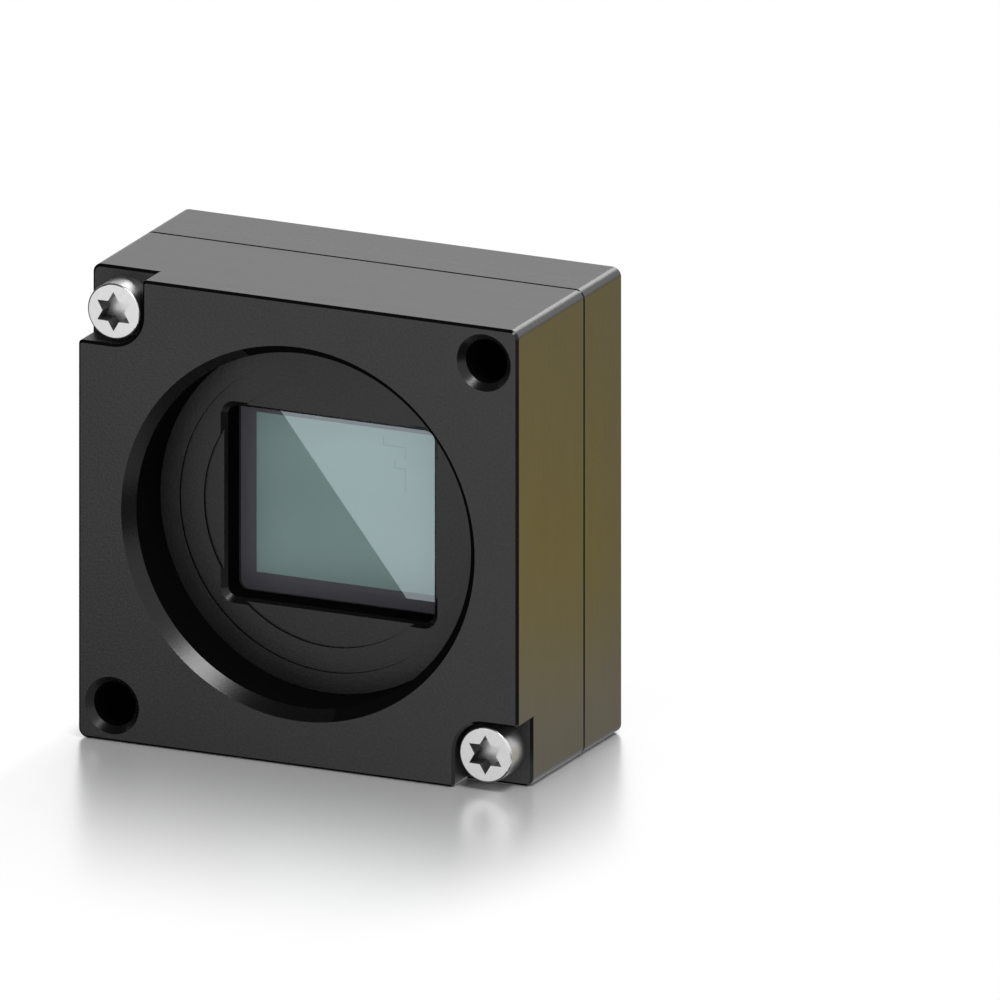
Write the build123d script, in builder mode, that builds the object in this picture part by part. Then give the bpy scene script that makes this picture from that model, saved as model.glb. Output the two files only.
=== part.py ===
from build123d import *
import math
import os

# A miniature camera: two machined shells, joined by two screws, around a sensor and its boards.
# Millimetres. X runs to the right of someone who faces the lens recess, Y runs into the camera
# and Z up. The origin is the middle of the base. Depths are counted back from the front face.

# Housing shells, closed round the sensor, the socket and the boards
front_shell_depth = 6.85
side_wall = 1.2
rear_wall = 0.9
post_wall = 0.25
mill_radius = 0.5
edge_radius = 0.42
edge_chamfer = 0.12
seam_chamfer = 0.08
lip_width = 0.5
lip_height = 0.45
lip_clearance = 0.05

# Lens recess, a stepped bore with a steep lead-in
recess_radius = 8.1
recess_lead_in = 0.46
recess_lead_in_depth = 0.6
recess_ledge_depth = 3.1
outer_step_radius = 7.18
inner_step_radius = 6.06
recess_step = 0.12

# Sensor window, milled through the web behind the recess
window_width = 10.0
window_height = 8.75
window_radius = 0.45
window_chamfer = 0.13
web_thickness = 1.26

# Corner holes, the same distance in from both sides
corner_inset = 1.65
mount_thread_radius = 1.01
mount_countersink_radius = 1.31
mount_thread_depth = 3.2
countersink_angle = 90.0
drill_tip_angle = 118.0

# Housing screws, sunk in two open pockets
pocket_depth = 1.5
head_radius = 1.27
head_height = 1.35
head_clearance = 0.18
head_bevel = 0.06
pocket_mouth_radius = 0.2
star_outer_radius = 0.9
star_inner_radius = 0.53
star_points = 6
star_depth = 0.95
shank_radius = 0.8
shank_clearance = 0.06
thread_clearance = 0.02
thread_engagement = 2.4
thread_tip_gap = 0.3

# Sensor stack, from the web backwards
gasket_thickness = 0.3
gasket_overhang = 0.2
gasket_window_gap = 0.05
glass_thickness = 0.4
glass_inset = 0.6
glass_bevel = 0.06
package_thickness = 1.3
package_width = 13.2
package_height = 11.4
package_notch_pitch = 2.9
package_notch_count = 3
package_notch_radius = 0.15
die_width = 10.6
die_height = 9.2
die_thickness = 0.65
die_below_glass = 0.1
die_side_gap = 0.15
pixel_field_width = 8.75
pixel_field_height = 7.33
pixel_field_step = 0.02

# Boards
board_side_gap = 0.3
sensor_board_thickness = 0.8
board_spacing = 1.0
interface_board_thickness = 0.6
board_screw_rise = 3.0
board_boss_radius = 1.1
boss_package_gap = 0.3
boss_wall_gap = 0.35
board_screw_radius = 0.5
board_screw_head_radius = 0.9
board_screw_head_height = 0.45
board_screw_engagement = 1.2
board_screw_tip_gap = 0.2
board_screw_slot_width = 0.25
board_screw_slot_depth = 0.2
board_hole_clearance = 0.08

# Board-to-board connector
connector_length = 10.4
connector_width = 2.4
connector_top_gap = 0.55
connector_socket_height = 0.8
connector_end_wall = 0.5
connector_side_wall = 0.6
connector_slot_depth = 0.55
connector_clearance = 0.05
connector_tongue_gap = 0.1

# Chips and passive parts
processor_size = 7.5
processor_height = 0.75
processor_memory_gap = 0.35
memory_width = 5.0
memory_depth_size = 2.4
memory_height = 0.6
memory_socket_gap = 0.47
controller_size = 6.0
controller_height = 0.5
controller_rise = 0.0
chip_chamfer = 0.06
inductor_size = 2.0
inductor_height = 0.75
inductor_offset = 5.2
inductor_rise = 1.2
inductor_pitch = 2.8
oscillator_width = 2.5
oscillator_depth_size = 2.0
oscillator_height = 0.6
oscillator_offset = 5.2
oscillator_rise = -1.6
oscillator_corner = 0.2
capacitor_length = 1.0
capacitor_width = 0.5
capacitor_height = 0.35
capacitor_offset = 5.3
capacitor_rows = 5
capacitor_row_pitch = 1.5

# Pad between the controller and the rear wall
thermal_pad_thickness = 0.4

# USB socket, sunk upright through the boards
usb_floor_gap = 0.32
usb_package_gap = 0.27
usb_mouth_width = 8.34
usb_mouth_height = 2.56
usb_shell_wall = 0.3
usb_front_gap = 0.2
usb_rear_inset = 0.05
usb_opening_gap = 0.1
usb_base_thickness = 1.2
usb_base_gap = 0.03
usb_tongue_width = 6.69
usb_tongue_thickness = 0.7
usb_tongue_mouth_gap = 0.55
usb_contact_pitch = 0.5
usb_contact_count = 12
usb_contact_width = 0.25
usb_contact_thickness = 0.05
usb_contact_length = 3.6
usb_contact_tip_gap = 0.25
usb_tab_reach = 0.9
usb_tab_height = 1.2
usb_tab_thickness = 0.3
lock_screw_step = 1.3
lock_thread_radius = 0.8
lock_thread_depth = 2.2
lock_countersink_radius = 1.05

# Input and output socket
io_top_gap = 1.35
io_width = 7.0
io_height = 2.8
io_wall = 0.35
io_floor = 0.45
io_rear_inset = 0.05
io_opening_gap = 0.1
io_pin_count = 5
io_pin_pitch = 1.2
io_pin_size = 0.3
io_pin_clearance = 0.02
io_pin_tip_gap = 0.3

# Status light
light_post_gap = 1.35
light_pipe_radius = 0.6
light_pipe_flange_radius = 0.9
light_pipe_flange = 0.3
light_pipe_gap = 0.03
led_width = 1.0
led_height = 0.6
led_thickness = 0.35

# Depths that follow from the stack, front to rear
recess_floor_depth = recess_ledge_depth + 2 * recess_step
web_rear_depth = recess_floor_depth + web_thickness
glass_depth = web_rear_depth + gasket_thickness
package_depth = glass_depth + glass_thickness
die_rear_depth = package_depth + die_below_glass + die_thickness
sensor_board_depth = package_depth + package_thickness
sensor_board_rear_depth = sensor_board_depth + sensor_board_thickness
interface_board_depth = sensor_board_rear_depth + board_spacing
interface_board_rear_depth = interface_board_depth + interface_board_thickness
rear_wall_depth = interface_board_rear_depth + controller_height + thermal_pad_thickness
housing_depth = rear_wall_depth + rear_wall
usb_front_depth = web_rear_depth + usb_front_gap
usb_base_rear_depth = usb_front_depth + usb_base_thickness
usb_rear_depth = housing_depth - usb_rear_inset
usb_tongue_tip_depth = usb_rear_depth - usb_tongue_mouth_gap
io_rear_depth = housing_depth - io_rear_inset

# Widths and heights that follow from what the housing holds
usb_shell_width = usb_mouth_width + 2 * usb_shell_wall
usb_shell_height = usb_mouth_height + 2 * usb_shell_wall
board_screw_offset = package_width / 2 + boss_package_gap + board_boss_radius
inner_width = 2 * (board_screw_offset + board_boss_radius + boss_wall_gap)
inner_height = package_height + 2 * (usb_package_gap + usb_shell_height + usb_floor_gap)
housing_width = inner_width + 2 * side_wall
housing_height = inner_height + 2 * side_wall
hole_offset = housing_width / 2 - corner_inset
hole_rise = housing_height / 2 - corner_inset
lock_offset = hole_offset - lock_screw_step
post_gap_width = 2 * (lock_offset - lock_thread_radius - post_wall)
post_gap_height = housing_height - housing_width + post_gap_width
pocket_radius = head_radius + head_clearance
pocket_reach = corner_inset + pocket_radius
front_y = -housing_depth / 2
middle_z = housing_height / 2

# Heights of the inner pieces, from the middle of the housing
usb_rise = usb_floor_gap + (usb_shell_height - inner_height) / 2
memory_rise = usb_rise + (usb_shell_height + memory_depth_size) / 2 + memory_socket_gap
processor_rise = memory_rise + (memory_depth_size + processor_size) / 2 + processor_memory_gap
connector_rise = (inner_height - connector_width) / 2 - connector_top_gap
io_rise = (inner_height - io_height) / 2 - io_top_gap
light_offset = post_gap_width / 2 - light_post_gap

# Places of the screws and the tapped holes
screw_places = {"top_left": (-hole_offset, hole_rise), "bottom_right": (hole_offset, -hole_rise)}
thread_places = [(hole_offset, hole_rise), (-hole_offset, -hole_rise)]
sensor_screw_places = {
    "left": (-board_screw_offset, board_screw_rise),
    "right": (board_screw_offset, -board_screw_rise),
}
interface_screw_places = {
    "left": (-board_screw_offset, -board_screw_rise),
    "right": (board_screw_offset, board_screw_rise),
}
lock_places = [(-lock_offset, usb_rise), (lock_offset, usb_rise)]


def facing_front(depth):
    """Sketch plane at a depth, seen from the front: x to the right, y up, from the middle."""
    return Plane(origin=(0, front_y + depth, middle_z), x_dir=(1, 0, 0), z_dir=(0, -1, 0))


def facing_rear(depth):
    """Sketch plane at a depth, facing the other way, with y still up."""
    return Plane(origin=(0, front_y + depth, middle_z), x_dir=(-1, 0, 0), z_dir=(0, 1, 0))


def mirrored(places):
    """Places for a plane that faces the rear, whose x axis runs the other way."""
    return [(-x, y) for x, y in places]


def inner_outline(inset=0.0, corner=mill_radius):
    """Plus-shaped outline of the space between the corner posts."""
    with BuildSketch(mode=Mode.PRIVATE) as outline:
        Rectangle(inner_width - 2 * inset, post_gap_height - 2 * inset)
        Rectangle(post_gap_width - 2 * inset, inner_height - 2 * inset)
        if corner:
            fillet(outline.vertices(), corner)
    return outline.sketch


def is_pocket_mouth(vertex):
    """True where a pocket wall runs out through a side of the housing, in sketch coordinates."""
    x, y = abs(vertex.X), abs(vertex.Y)
    on_side = math.isclose(x, housing_width / 2) and math.isclose(y, housing_height / 2 - pocket_reach)
    on_top = math.isclose(y, housing_height / 2) and math.isclose(x, housing_width / 2 - pocket_reach)
    return on_side or on_top


def face_outline():
    """Front face: a rounded square less the two open screw pockets."""
    with BuildSketch(mode=Mode.PRIVATE) as outline:
        RectangleRounded(housing_width, housing_height, edge_radius)
        for side in (-1, 1):
            with Locations((side * housing_width / 2, -side * housing_height / 2)):
                RectangleRounded(2 * pocket_reach, 2 * pocket_reach, pocket_radius, mode=Mode.SUBTRACT)
        fillet(outline.vertices().filter_by(is_pocket_mouth), pocket_mouth_radius)
    return outline.sketch


def star_outline():
    """Corner points of the six-pointed recess, with one point straight up."""
    corners = []
    for turn in range(2 * star_points):
        reach = star_inner_radius if turn % 2 else star_outer_radius
        angle = math.pi * turn / star_points
        corners.append((reach * math.sin(angle), reach * math.cos(angle)))
    return corners


def cut_tapped_holes(plane, places, radius, countersink_radius, depth):
    """Blind holes with a countersunk mouth and a drill tip, cut from the open part."""
    bottom = plane.offset(-depth)
    with Locations(*[plane.location * Location((x, y)) for x, y in places]):
        CounterSinkHole(radius, countersink_radius, depth, countersink_angle)
    with Locations(*[bottom.location * Location((x, y)) for x, y in places]):
        Cone(
            radius,
            0,
            radius / math.tan(math.radians(drill_tip_angle / 2)),
            rotation=(180, 0, 0),
            align=(Align.CENTER, Align.CENTER, Align.MIN),
            mode=Mode.SUBTRACT,
        )


def finish(piece, label):
    """Label a finished piece and write it."""
    piece.part.label = label
    export_step(piece.part, f"parts/{label}.step")


# Front shell: a slice with the pockets in its outline, on a slice with the full outline
with BuildPart() as front_housing:
    with BuildSketch(facing_front(pocket_depth)):
        RectangleRounded(housing_width, housing_height, edge_radius)
    extrude(amount=pocket_depth - front_shell_depth)
    chamfer(front_housing.faces().sort_by(Axis.Y)[0].edges(), edge_chamfer)
    chamfer(front_housing.faces().sort_by(Axis.Y)[-1].edges(), seam_chamfer)
    with BuildSketch(facing_front(pocket_depth + edge_chamfer)):
        add(face_outline())
    extrude(amount=pocket_depth + edge_chamfer)
    chamfer(front_housing.faces().sort_by(Axis.Y)[0].edges(), edge_chamfer)

    # Lens recess
    with BuildSketch(Plane.XY.offset(middle_z)):
        with BuildLine():
            Polyline(
                (0, front_y),
                (recess_radius + recess_lead_in, front_y),
                (recess_radius, front_y + recess_lead_in_depth),
                (recess_radius, front_y + recess_ledge_depth),
                (outer_step_radius, front_y + recess_ledge_depth),
                (outer_step_radius, front_y + recess_ledge_depth + recess_step),
                (inner_step_radius, front_y + recess_ledge_depth + recess_step),
                (inner_step_radius, front_y + recess_floor_depth),
                (0, front_y + recess_floor_depth),
                close=True,
            )
        make_face()
    revolve(axis=Axis((0, 0, middle_z), (0, 1, 0)), mode=Mode.SUBTRACT)

    # Sensor window, with a chamfer that runs out through the steps of the floor
    with BuildSketch(facing_front(web_rear_depth)):
        RectangleRounded(window_width, window_height, window_radius)
    extrude(amount=web_thickness, mode=Mode.SUBTRACT)
    with BuildSketch(facing_front(recess_floor_depth + window_chamfer)):
        RectangleRounded(window_width, window_height, window_radius)
    extrude(amount=2 * recess_step + window_chamfer, taper=-45, mode=Mode.SUBTRACT)

    # Space for the sensor, with bosses for its board, and the lip that enters the rear shell
    with BuildSketch(facing_front(front_shell_depth)):
        add(inner_outline())
    extrude(amount=front_shell_depth - web_rear_depth, mode=Mode.SUBTRACT)
    with BuildSketch(facing_front(front_shell_depth)):
        add(inner_outline(-lip_width, corner=0))
        add(inner_outline(), mode=Mode.SUBTRACT)
    extrude(amount=-lip_height)
    with BuildSketch(facing_front(sensor_board_depth)):
        with Locations(*sensor_screw_places.values()):
            Circle(board_boss_radius)
    extrude(amount=sensor_board_depth - web_rear_depth)
    with BuildSketch(facing_front(sensor_board_depth)):
        with Locations(*sensor_screw_places.values()):
            Circle(board_screw_radius + thread_clearance)
    extrude(amount=board_screw_engagement + board_screw_tip_gap, mode=Mode.SUBTRACT)

    # Corner holes: two tapped from the front, two for the housing screws
    cut_tapped_holes(
        facing_front(0),
        thread_places,
        mount_thread_radius,
        mount_countersink_radius,
        mount_thread_depth,
    )
    with BuildSketch(facing_front(front_shell_depth)):
        with Locations(*screw_places.values()):
            Circle(shank_radius + shank_clearance)
    extrude(amount=front_shell_depth - pocket_depth, mode=Mode.SUBTRACT)
finish(front_housing, "front_housing")

# Rear shell: a shallow tray with the tapped posts and the openings for the sockets
with BuildPart() as rear_housing:
    with BuildSketch(facing_front(front_shell_depth)):
        RectangleRounded(housing_width, housing_height, edge_radius)
    extrude(amount=front_shell_depth - housing_depth)
    chamfer(rear_housing.faces().sort_by(Axis.Y)[0].edges(), seam_chamfer)
    chamfer(rear_housing.faces().sort_by(Axis.Y)[-1].edges(), edge_chamfer)
    with BuildSketch(facing_front(front_shell_depth)):
        add(inner_outline())
    extrude(amount=front_shell_depth - rear_wall_depth, mode=Mode.SUBTRACT)
    with BuildSketch(facing_front(front_shell_depth)):
        add(inner_outline(-lip_width - lip_clearance, corner=0))
    extrude(amount=-lip_height - lip_clearance, mode=Mode.SUBTRACT)

    # Bosses for the interface board
    with BuildSketch(facing_front(rear_wall_depth)):
        with Locations(*interface_screw_places.values()):
            Circle(board_boss_radius)
    extrude(amount=rear_wall_depth - interface_board_rear_depth)
    with BuildSketch(facing_front(interface_board_rear_depth)):
        with Locations(*interface_screw_places.values()):
            Circle(board_screw_radius + thread_clearance)
    extrude(amount=-board_screw_engagement - board_screw_tip_gap, mode=Mode.SUBTRACT)

    # Openings for the sockets and the status light
    with BuildSketch(facing_front(housing_depth)):
        with Locations((0, usb_rise)):
            SlotOverall(usb_shell_width + 2 * usb_opening_gap, usb_shell_height + 2 * usb_opening_gap)
        with Locations((0, io_rise)):
            Rectangle(io_width + 2 * io_opening_gap, io_height + 2 * io_opening_gap)
        with Locations((light_offset, io_rise)):
            Circle(light_pipe_radius + light_pipe_gap)
    extrude(amount=rear_wall, mode=Mode.SUBTRACT)

    # Tapped holes for the housing screws and for the locking screws of a cable plug
    with BuildSketch(facing_front(front_shell_depth)):
        with Locations(*screw_places.values()):
            Circle(shank_radius + thread_clearance)
    extrude(amount=-thread_engagement - thread_tip_gap, mode=Mode.SUBTRACT)
    cut_tapped_holes(
        facing_rear(housing_depth),
        mirrored(lock_places),
        lock_thread_radius,
        lock_countersink_radius,
        lock_thread_depth,
    )
finish(rear_housing, "rear_housing")

# Housing screws: a cylinder head with a six-pointed star recess
for corner, place in screw_places.items():
    with BuildPart() as housing_screw:
        with BuildSketch(facing_front(pocket_depth)):
            with Locations(place):
                Circle(head_radius)
        extrude(amount=head_height)
        chamfer(housing_screw.faces().sort_by(Axis.Y)[0].edges(), head_bevel)
        with BuildSketch(facing_front(pocket_depth)):
            with Locations(place):
                Circle(shank_radius)
        extrude(amount=pocket_depth - front_shell_depth - thread_engagement)
        chamfer(housing_screw.faces().sort_by(Axis.Y)[-1].edges(), head_bevel)
        with BuildSketch(facing_front(pocket_depth - head_height)):
            with Locations(place):
                Polygon(*star_outline())
        extrude(amount=-star_depth, mode=Mode.SUBTRACT)
        dish = facing_front(pocket_depth - head_height + star_depth)
        with Locations(dish.location * Location(place)):
            Cone(
                star_inner_radius,
                0,
                star_inner_radius / math.tan(math.radians(drill_tip_angle / 2)),
                rotation=(180, 0, 0),
                align=(Align.CENTER, Align.CENTER, Align.MIN),
                mode=Mode.SUBTRACT,
            )
    finish(housing_screw, f"housing_screw_{corner}")

# Soft black gasket between the web and the glass
glass_width = package_width - 2 * glass_inset
glass_height = package_height - 2 * glass_inset
with BuildPart() as window_gasket:
    with BuildSketch(facing_front(web_rear_depth)):
        RectangleRounded(
            glass_width + 2 * gasket_overhang,
            glass_height + 2 * gasket_overhang,
            window_radius,
        )
        RectangleRounded(
            window_width + 2 * gasket_window_gap,
            window_height + 2 * gasket_window_gap,
            window_radius,
            mode=Mode.SUBTRACT,
        )
    extrude(amount=-gasket_thickness)
finish(window_gasket, "window_gasket")

# Cover glass of the sensor
with BuildPart() as sensor_cover_glass:
    with BuildSketch(facing_front(glass_depth)):
        Rectangle(glass_width, glass_height)
    extrude(amount=-glass_thickness)
    chamfer(sensor_cover_glass.edges(), glass_bevel)
finish(sensor_cover_glass, "sensor_cover_glass")

# Ceramic package, with a well for the die and notches down its sides
with BuildPart() as sensor_package:
    with BuildSketch(facing_front(package_depth)):
        Rectangle(package_width, package_height)
        with GridLocations(package_width, package_notch_pitch, 2, package_notch_count):
            Circle(package_notch_radius, mode=Mode.SUBTRACT)
    extrude(amount=-package_thickness)
    with BuildSketch(facing_front(package_depth)):
        RectangleRounded(die_width + 2 * die_side_gap, die_height + 2 * die_side_gap, die_side_gap)
    extrude(amount=-die_below_glass - die_thickness, mode=Mode.SUBTRACT)
finish(sensor_package, "sensor_package")

# Sensor die, with its pixel field standing a hair proud of the border
with BuildPart() as sensor_die:
    with BuildSketch(facing_front(die_rear_depth)):
        Rectangle(die_width, die_height)
    extrude(amount=die_thickness - pixel_field_step)
    with BuildSketch(facing_front(package_depth + die_below_glass)):
        Rectangle(pixel_field_width, pixel_field_height)
    extrude(amount=-pixel_field_step)
finish(sensor_die, "sensor_die")


def board_outline(screw_places, usb_cut_width):
    """Board between the corner posts, notched for the USB socket and drilled for its screws."""
    with BuildSketch(mode=Mode.PRIVATE) as outline:
        add(inner_outline(board_side_gap, corner=0))
        with Locations((0, usb_rise + usb_shell_height / 2 + usb_opening_gap)):
            Rectangle(usb_cut_width, inner_height, align=(Align.CENTER, Align.MAX), mode=Mode.SUBTRACT)
        with Locations(*screw_places.values()):
            Circle(board_screw_radius + board_hole_clearance, mode=Mode.SUBTRACT)
    return outline.sketch


# Sensor board, behind the package
with BuildPart() as sensor_board:
    with BuildSketch(facing_front(sensor_board_depth)):
        add(board_outline(sensor_screw_places, usb_shell_width + 2 * usb_opening_gap))
    extrude(amount=-sensor_board_thickness)
finish(sensor_board, "sensor_board")

# Interface board, carried by the rear shell
with BuildPart() as interface_board:
    with BuildSketch(facing_front(interface_board_depth)):
        add(board_outline(interface_screw_places, usb_shell_width + 2 * usb_opening_gap))
    extrude(amount=-interface_board_thickness)
finish(interface_board, "interface_board")


def board_screw(seat, place, label):
    """Small slotted screw whose head sits on a board: seat is the plane of that board face."""
    with BuildPart() as screw:
        with BuildSketch(seat):
            with Locations(place):
                Circle(board_screw_head_radius)
        extrude(amount=board_screw_head_height)
        with BuildSketch(seat):
            with Locations(place):
                Circle(board_screw_radius)
        extrude(amount=-board_screw_reach(seat))
        with BuildSketch(seat.offset(board_screw_head_height)):
            with Locations(place):
                Rectangle(2 * board_screw_head_radius, board_screw_slot_width)
        extrude(amount=-board_screw_slot_depth, mode=Mode.SUBTRACT)
    finish(screw, label)


def board_screw_reach(seat):
    """Length under the head: through the board that the screw holds and into its boss."""
    held = sensor_board_thickness if seat.z_dir.Y > 0 else interface_board_thickness
    return held + board_screw_engagement


for side, place in sensor_screw_places.items():
    board_screw(facing_rear(sensor_board_rear_depth), mirrored([place])[0], f"sensor_board_screw_{side}")
for side, place in interface_screw_places.items():
    board_screw(facing_front(interface_board_depth), place, f"interface_board_screw_{side}")

# Connector between the boards: a slotted socket on the sensor board
slot_length = connector_length - 2 * connector_end_wall
slot_width = connector_width - 2 * connector_side_wall
with BuildPart() as board_connector_socket:
    with BuildSketch(facing_front(sensor_board_rear_depth)):
        with Locations((0, connector_rise)):
            Rectangle(connector_length, connector_width)
    extrude(amount=-connector_socket_height)
    with BuildSketch(facing_front(sensor_board_rear_depth + connector_socket_height)):
        with Locations((0, connector_rise)):
            Rectangle(slot_length, slot_width)
    extrude(amount=connector_slot_depth, mode=Mode.SUBTRACT)
finish(board_connector_socket, "board_connector_socket")

# and a tongued plug on the interface board
with BuildPart() as board_connector_plug:
    with BuildSketch(facing_front(interface_board_depth)):
        with Locations((0, connector_rise)):
            Rectangle(connector_length, connector_width)
    extrude(amount=board_spacing - connector_socket_height - connector_clearance)
    with BuildSketch(facing_front(sensor_board_rear_depth + connector_socket_height + connector_clearance)):
        with Locations((0, connector_rise)):
            Rectangle(slot_length - 2 * connector_clearance, slot_width - 2 * connector_clearance)
    extrude(amount=connector_slot_depth - connector_tongue_gap)
finish(board_connector_plug, "board_connector_plug")


def board_part(plane, place, width, depth_size, height, label, corner=0.0):
    """Flat moulded part standing on a board plane, with bevelled or rounded edges."""
    with BuildPart() as block:
        with BuildSketch(plane):
            with Locations(place):
                if corner:
                    RectangleRounded(width, depth_size, corner)
                else:
                    Rectangle(width, depth_size)
        extrude(amount=height)
        chamfer(block.faces().sort_by(Axis(plane.origin, plane.z_dir))[-1].edges(), chip_chamfer)
    finish(block, label)


board_front = facing_front(interface_board_depth)
board_rear = facing_rear(interface_board_rear_depth)
board_part(board_front, (0, processor_rise), processor_size, processor_size, processor_height, "image_processor")
board_part(board_front, (0, memory_rise), memory_width, memory_depth_size, memory_height, "memory_chip")
board_part(board_rear, (0, controller_rise), controller_size, controller_size, controller_height, "usb_controller")
board_part(
    board_rear,
    (-oscillator_offset, oscillator_rise),
    oscillator_width,
    oscillator_depth_size,
    oscillator_height,
    "clock_oscillator",
    oscillator_corner,
)
for number, step in ((1, inductor_pitch / 2), (2, -inductor_pitch / 2)):
    inductor_place = (inductor_offset, inductor_rise + step)
    board_part(board_rear, inductor_place, inductor_size, inductor_size, inductor_height, f"power_inductor_{number}")

# Soft pad that fills the gap between the controller and the rear wall
with BuildPart() as thermal_pad:
    with BuildSketch(facing_front(rear_wall_depth)):
        with Locations((0, controller_rise)):
            Rectangle(controller_size, controller_size)
    extrude(amount=thermal_pad_thickness)
finish(thermal_pad, "thermal_pad")

# Two columns of capacitors on the back of the sensor board
with BuildPart() as board_capacitors:
    with BuildSketch(facing_front(sensor_board_rear_depth)):
        with GridLocations(2 * capacitor_offset, capacitor_row_pitch, 2, capacitor_rows):
            Rectangle(capacitor_length, capacitor_width)
    extrude(amount=-capacitor_height)
finish(board_capacitors, "board_capacitors")

# USB socket: a drawn steel shell with two tabs that lie on the interface board
with BuildPart() as usb_socket_shell:
    with BuildSketch(facing_front(usb_front_depth)):
        with Locations((0, usb_rise)):
            SlotOverall(usb_shell_width, usb_shell_height)
    extrude(amount=usb_front_depth - usb_rear_depth)
    with BuildSketch(facing_front(interface_board_rear_depth)):
        with Locations((0, usb_rise)):
            Rectangle(usb_shell_width + 2 * usb_tab_reach, usb_tab_height)
    extrude(amount=-usb_tab_thickness)
    with BuildSketch(facing_front(usb_front_depth)):
        with Locations((0, usb_rise)):
            SlotOverall(usb_mouth_width, usb_mouth_height)
    extrude(amount=usb_front_depth - usb_rear_depth, mode=Mode.SUBTRACT)
finish(usb_socket_shell, "usb_socket_shell")

# its insulator, with the tongue that a plug closes over
with BuildPart() as usb_socket_tongue:
    with BuildSketch(facing_front(usb_front_depth)):
        with Locations((0, usb_rise)):
            SlotOverall(usb_mouth_width - 2 * usb_base_gap, usb_mouth_height - 2 * usb_base_gap)
    extrude(amount=-usb_base_thickness)
    with BuildSketch(facing_front(usb_base_rear_depth)):
        with Locations((0, usb_rise)):
            Rectangle(usb_tongue_width, usb_tongue_thickness)
    extrude(amount=usb_base_rear_depth - usb_tongue_tip_depth)
finish(usb_socket_tongue, "usb_socket_tongue")

# and the flat contacts on both faces of the tongue
with BuildPart() as usb_socket_contacts:
    with BuildSketch(facing_rear(usb_tongue_tip_depth - usb_contact_tip_gap)):
        for side in (-1, 1):
            with Locations((0, usb_rise + side * (usb_tongue_thickness + usb_contact_thickness) / 2)):
                with GridLocations(usb_contact_pitch, 0, usb_contact_count, 1):
                    Rectangle(usb_contact_width, usb_contact_thickness)
    extrude(amount=-usb_contact_length)
finish(usb_socket_contacts, "usb_socket_contacts")

# Input and output socket: an open housing on the interface board
with BuildPart() as io_socket_housing:
    with BuildSketch(facing_front(interface_board_rear_depth)):
        with Locations((0, io_rise)):
            Rectangle(io_width, io_height)
    extrude(amount=interface_board_rear_depth - io_rear_depth)
    with BuildSketch(facing_front(interface_board_rear_depth + io_floor)):
        with Locations((0, io_rise)):
            Rectangle(io_width - 2 * io_wall, io_height - 2 * io_wall)
    extrude(amount=interface_board_rear_depth + io_floor - io_rear_depth, mode=Mode.SUBTRACT)
    with BuildSketch(facing_front(interface_board_rear_depth)):
        with Locations((0, io_rise)):
            with GridLocations(io_pin_pitch, 0, io_pin_count, 1):
                Rectangle(io_pin_size + 2 * io_pin_clearance, io_pin_size + 2 * io_pin_clearance)
    extrude(amount=-io_floor, mode=Mode.SUBTRACT)
finish(io_socket_housing, "io_socket_housing")

# and its row of square pins
with BuildPart() as io_socket_pins:
    with BuildSketch(facing_front(interface_board_rear_depth)):
        with Locations((0, io_rise)):
            with GridLocations(io_pin_pitch, 0, io_pin_count, 1):
                Rectangle(io_pin_size, io_pin_size)
    extrude(amount=interface_board_rear_depth + io_pin_tip_gap - io_rear_depth)
finish(io_socket_pins, "io_socket_pins")

# Status light on the interface board, under a flanged clear pipe in the rear wall
with BuildPart() as status_led:
    with BuildSketch(facing_front(interface_board_rear_depth)):
        with Locations((light_offset, io_rise)):
            Rectangle(led_width, led_height)
    extrude(amount=-led_thickness)
finish(status_led, "status_led")

with BuildPart() as light_pipe:
    with BuildSketch(facing_front(rear_wall_depth)):
        with Locations((light_offset, io_rise)):
            Circle(light_pipe_flange_radius)
    extrude(amount=light_pipe_flange)
    with BuildSketch(facing_front(rear_wall_depth)):
        with Locations((light_offset, io_rise)):
            Circle(light_pipe_radius)
    extrude(amount=rear_wall_depth + io_rear_inset - housing_depth)
finish(light_pipe, "light_pipe")
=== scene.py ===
import math

import bmesh
import bpy
from mathutils import Matrix, Vector


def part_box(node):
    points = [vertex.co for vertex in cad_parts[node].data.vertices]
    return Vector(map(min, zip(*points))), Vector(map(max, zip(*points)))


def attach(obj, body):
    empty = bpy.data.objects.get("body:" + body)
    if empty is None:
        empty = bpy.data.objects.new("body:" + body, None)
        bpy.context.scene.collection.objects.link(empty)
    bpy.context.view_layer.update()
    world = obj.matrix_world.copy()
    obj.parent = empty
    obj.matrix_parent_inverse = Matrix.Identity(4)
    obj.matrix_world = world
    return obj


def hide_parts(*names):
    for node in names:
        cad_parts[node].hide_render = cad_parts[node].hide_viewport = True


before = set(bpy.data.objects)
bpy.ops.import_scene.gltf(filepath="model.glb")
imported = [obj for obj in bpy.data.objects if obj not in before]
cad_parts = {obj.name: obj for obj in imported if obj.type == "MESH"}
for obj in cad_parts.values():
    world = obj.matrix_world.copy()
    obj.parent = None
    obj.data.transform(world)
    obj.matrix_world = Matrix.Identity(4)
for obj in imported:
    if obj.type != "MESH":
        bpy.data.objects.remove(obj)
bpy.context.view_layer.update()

bl_info = {
    "name": "Miniature camera",
    "version": (1, 0, 0),
    "blender": (4, 5, 0),
    "location": "3D View > Sidebar > Miniature camera",
    "description": "Dresses the packed miniature camera with shells, screws, sensor and sockets",
    "category": "Add Mesh",
}

# One millimetre and one micrometre in Blender's metres
MM = 0.001
MICRON = 0.000001

WHITE = (1.0, 1.0, 1.0, 1.0)
BLACK = (0.0, 0.0, 0.0, 1.0)

# Steps along a quarter of a rounded corner, and round turned parts
CORNER_STEPS = 16
LATHE_STEPS = 192
SCREW_STEPS = 128
HOLE_STEPS = 96
BOSS_STEPS = 64
SMALL_STEPS = 48
SHARP_ANGLE = math.radians(28)

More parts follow.
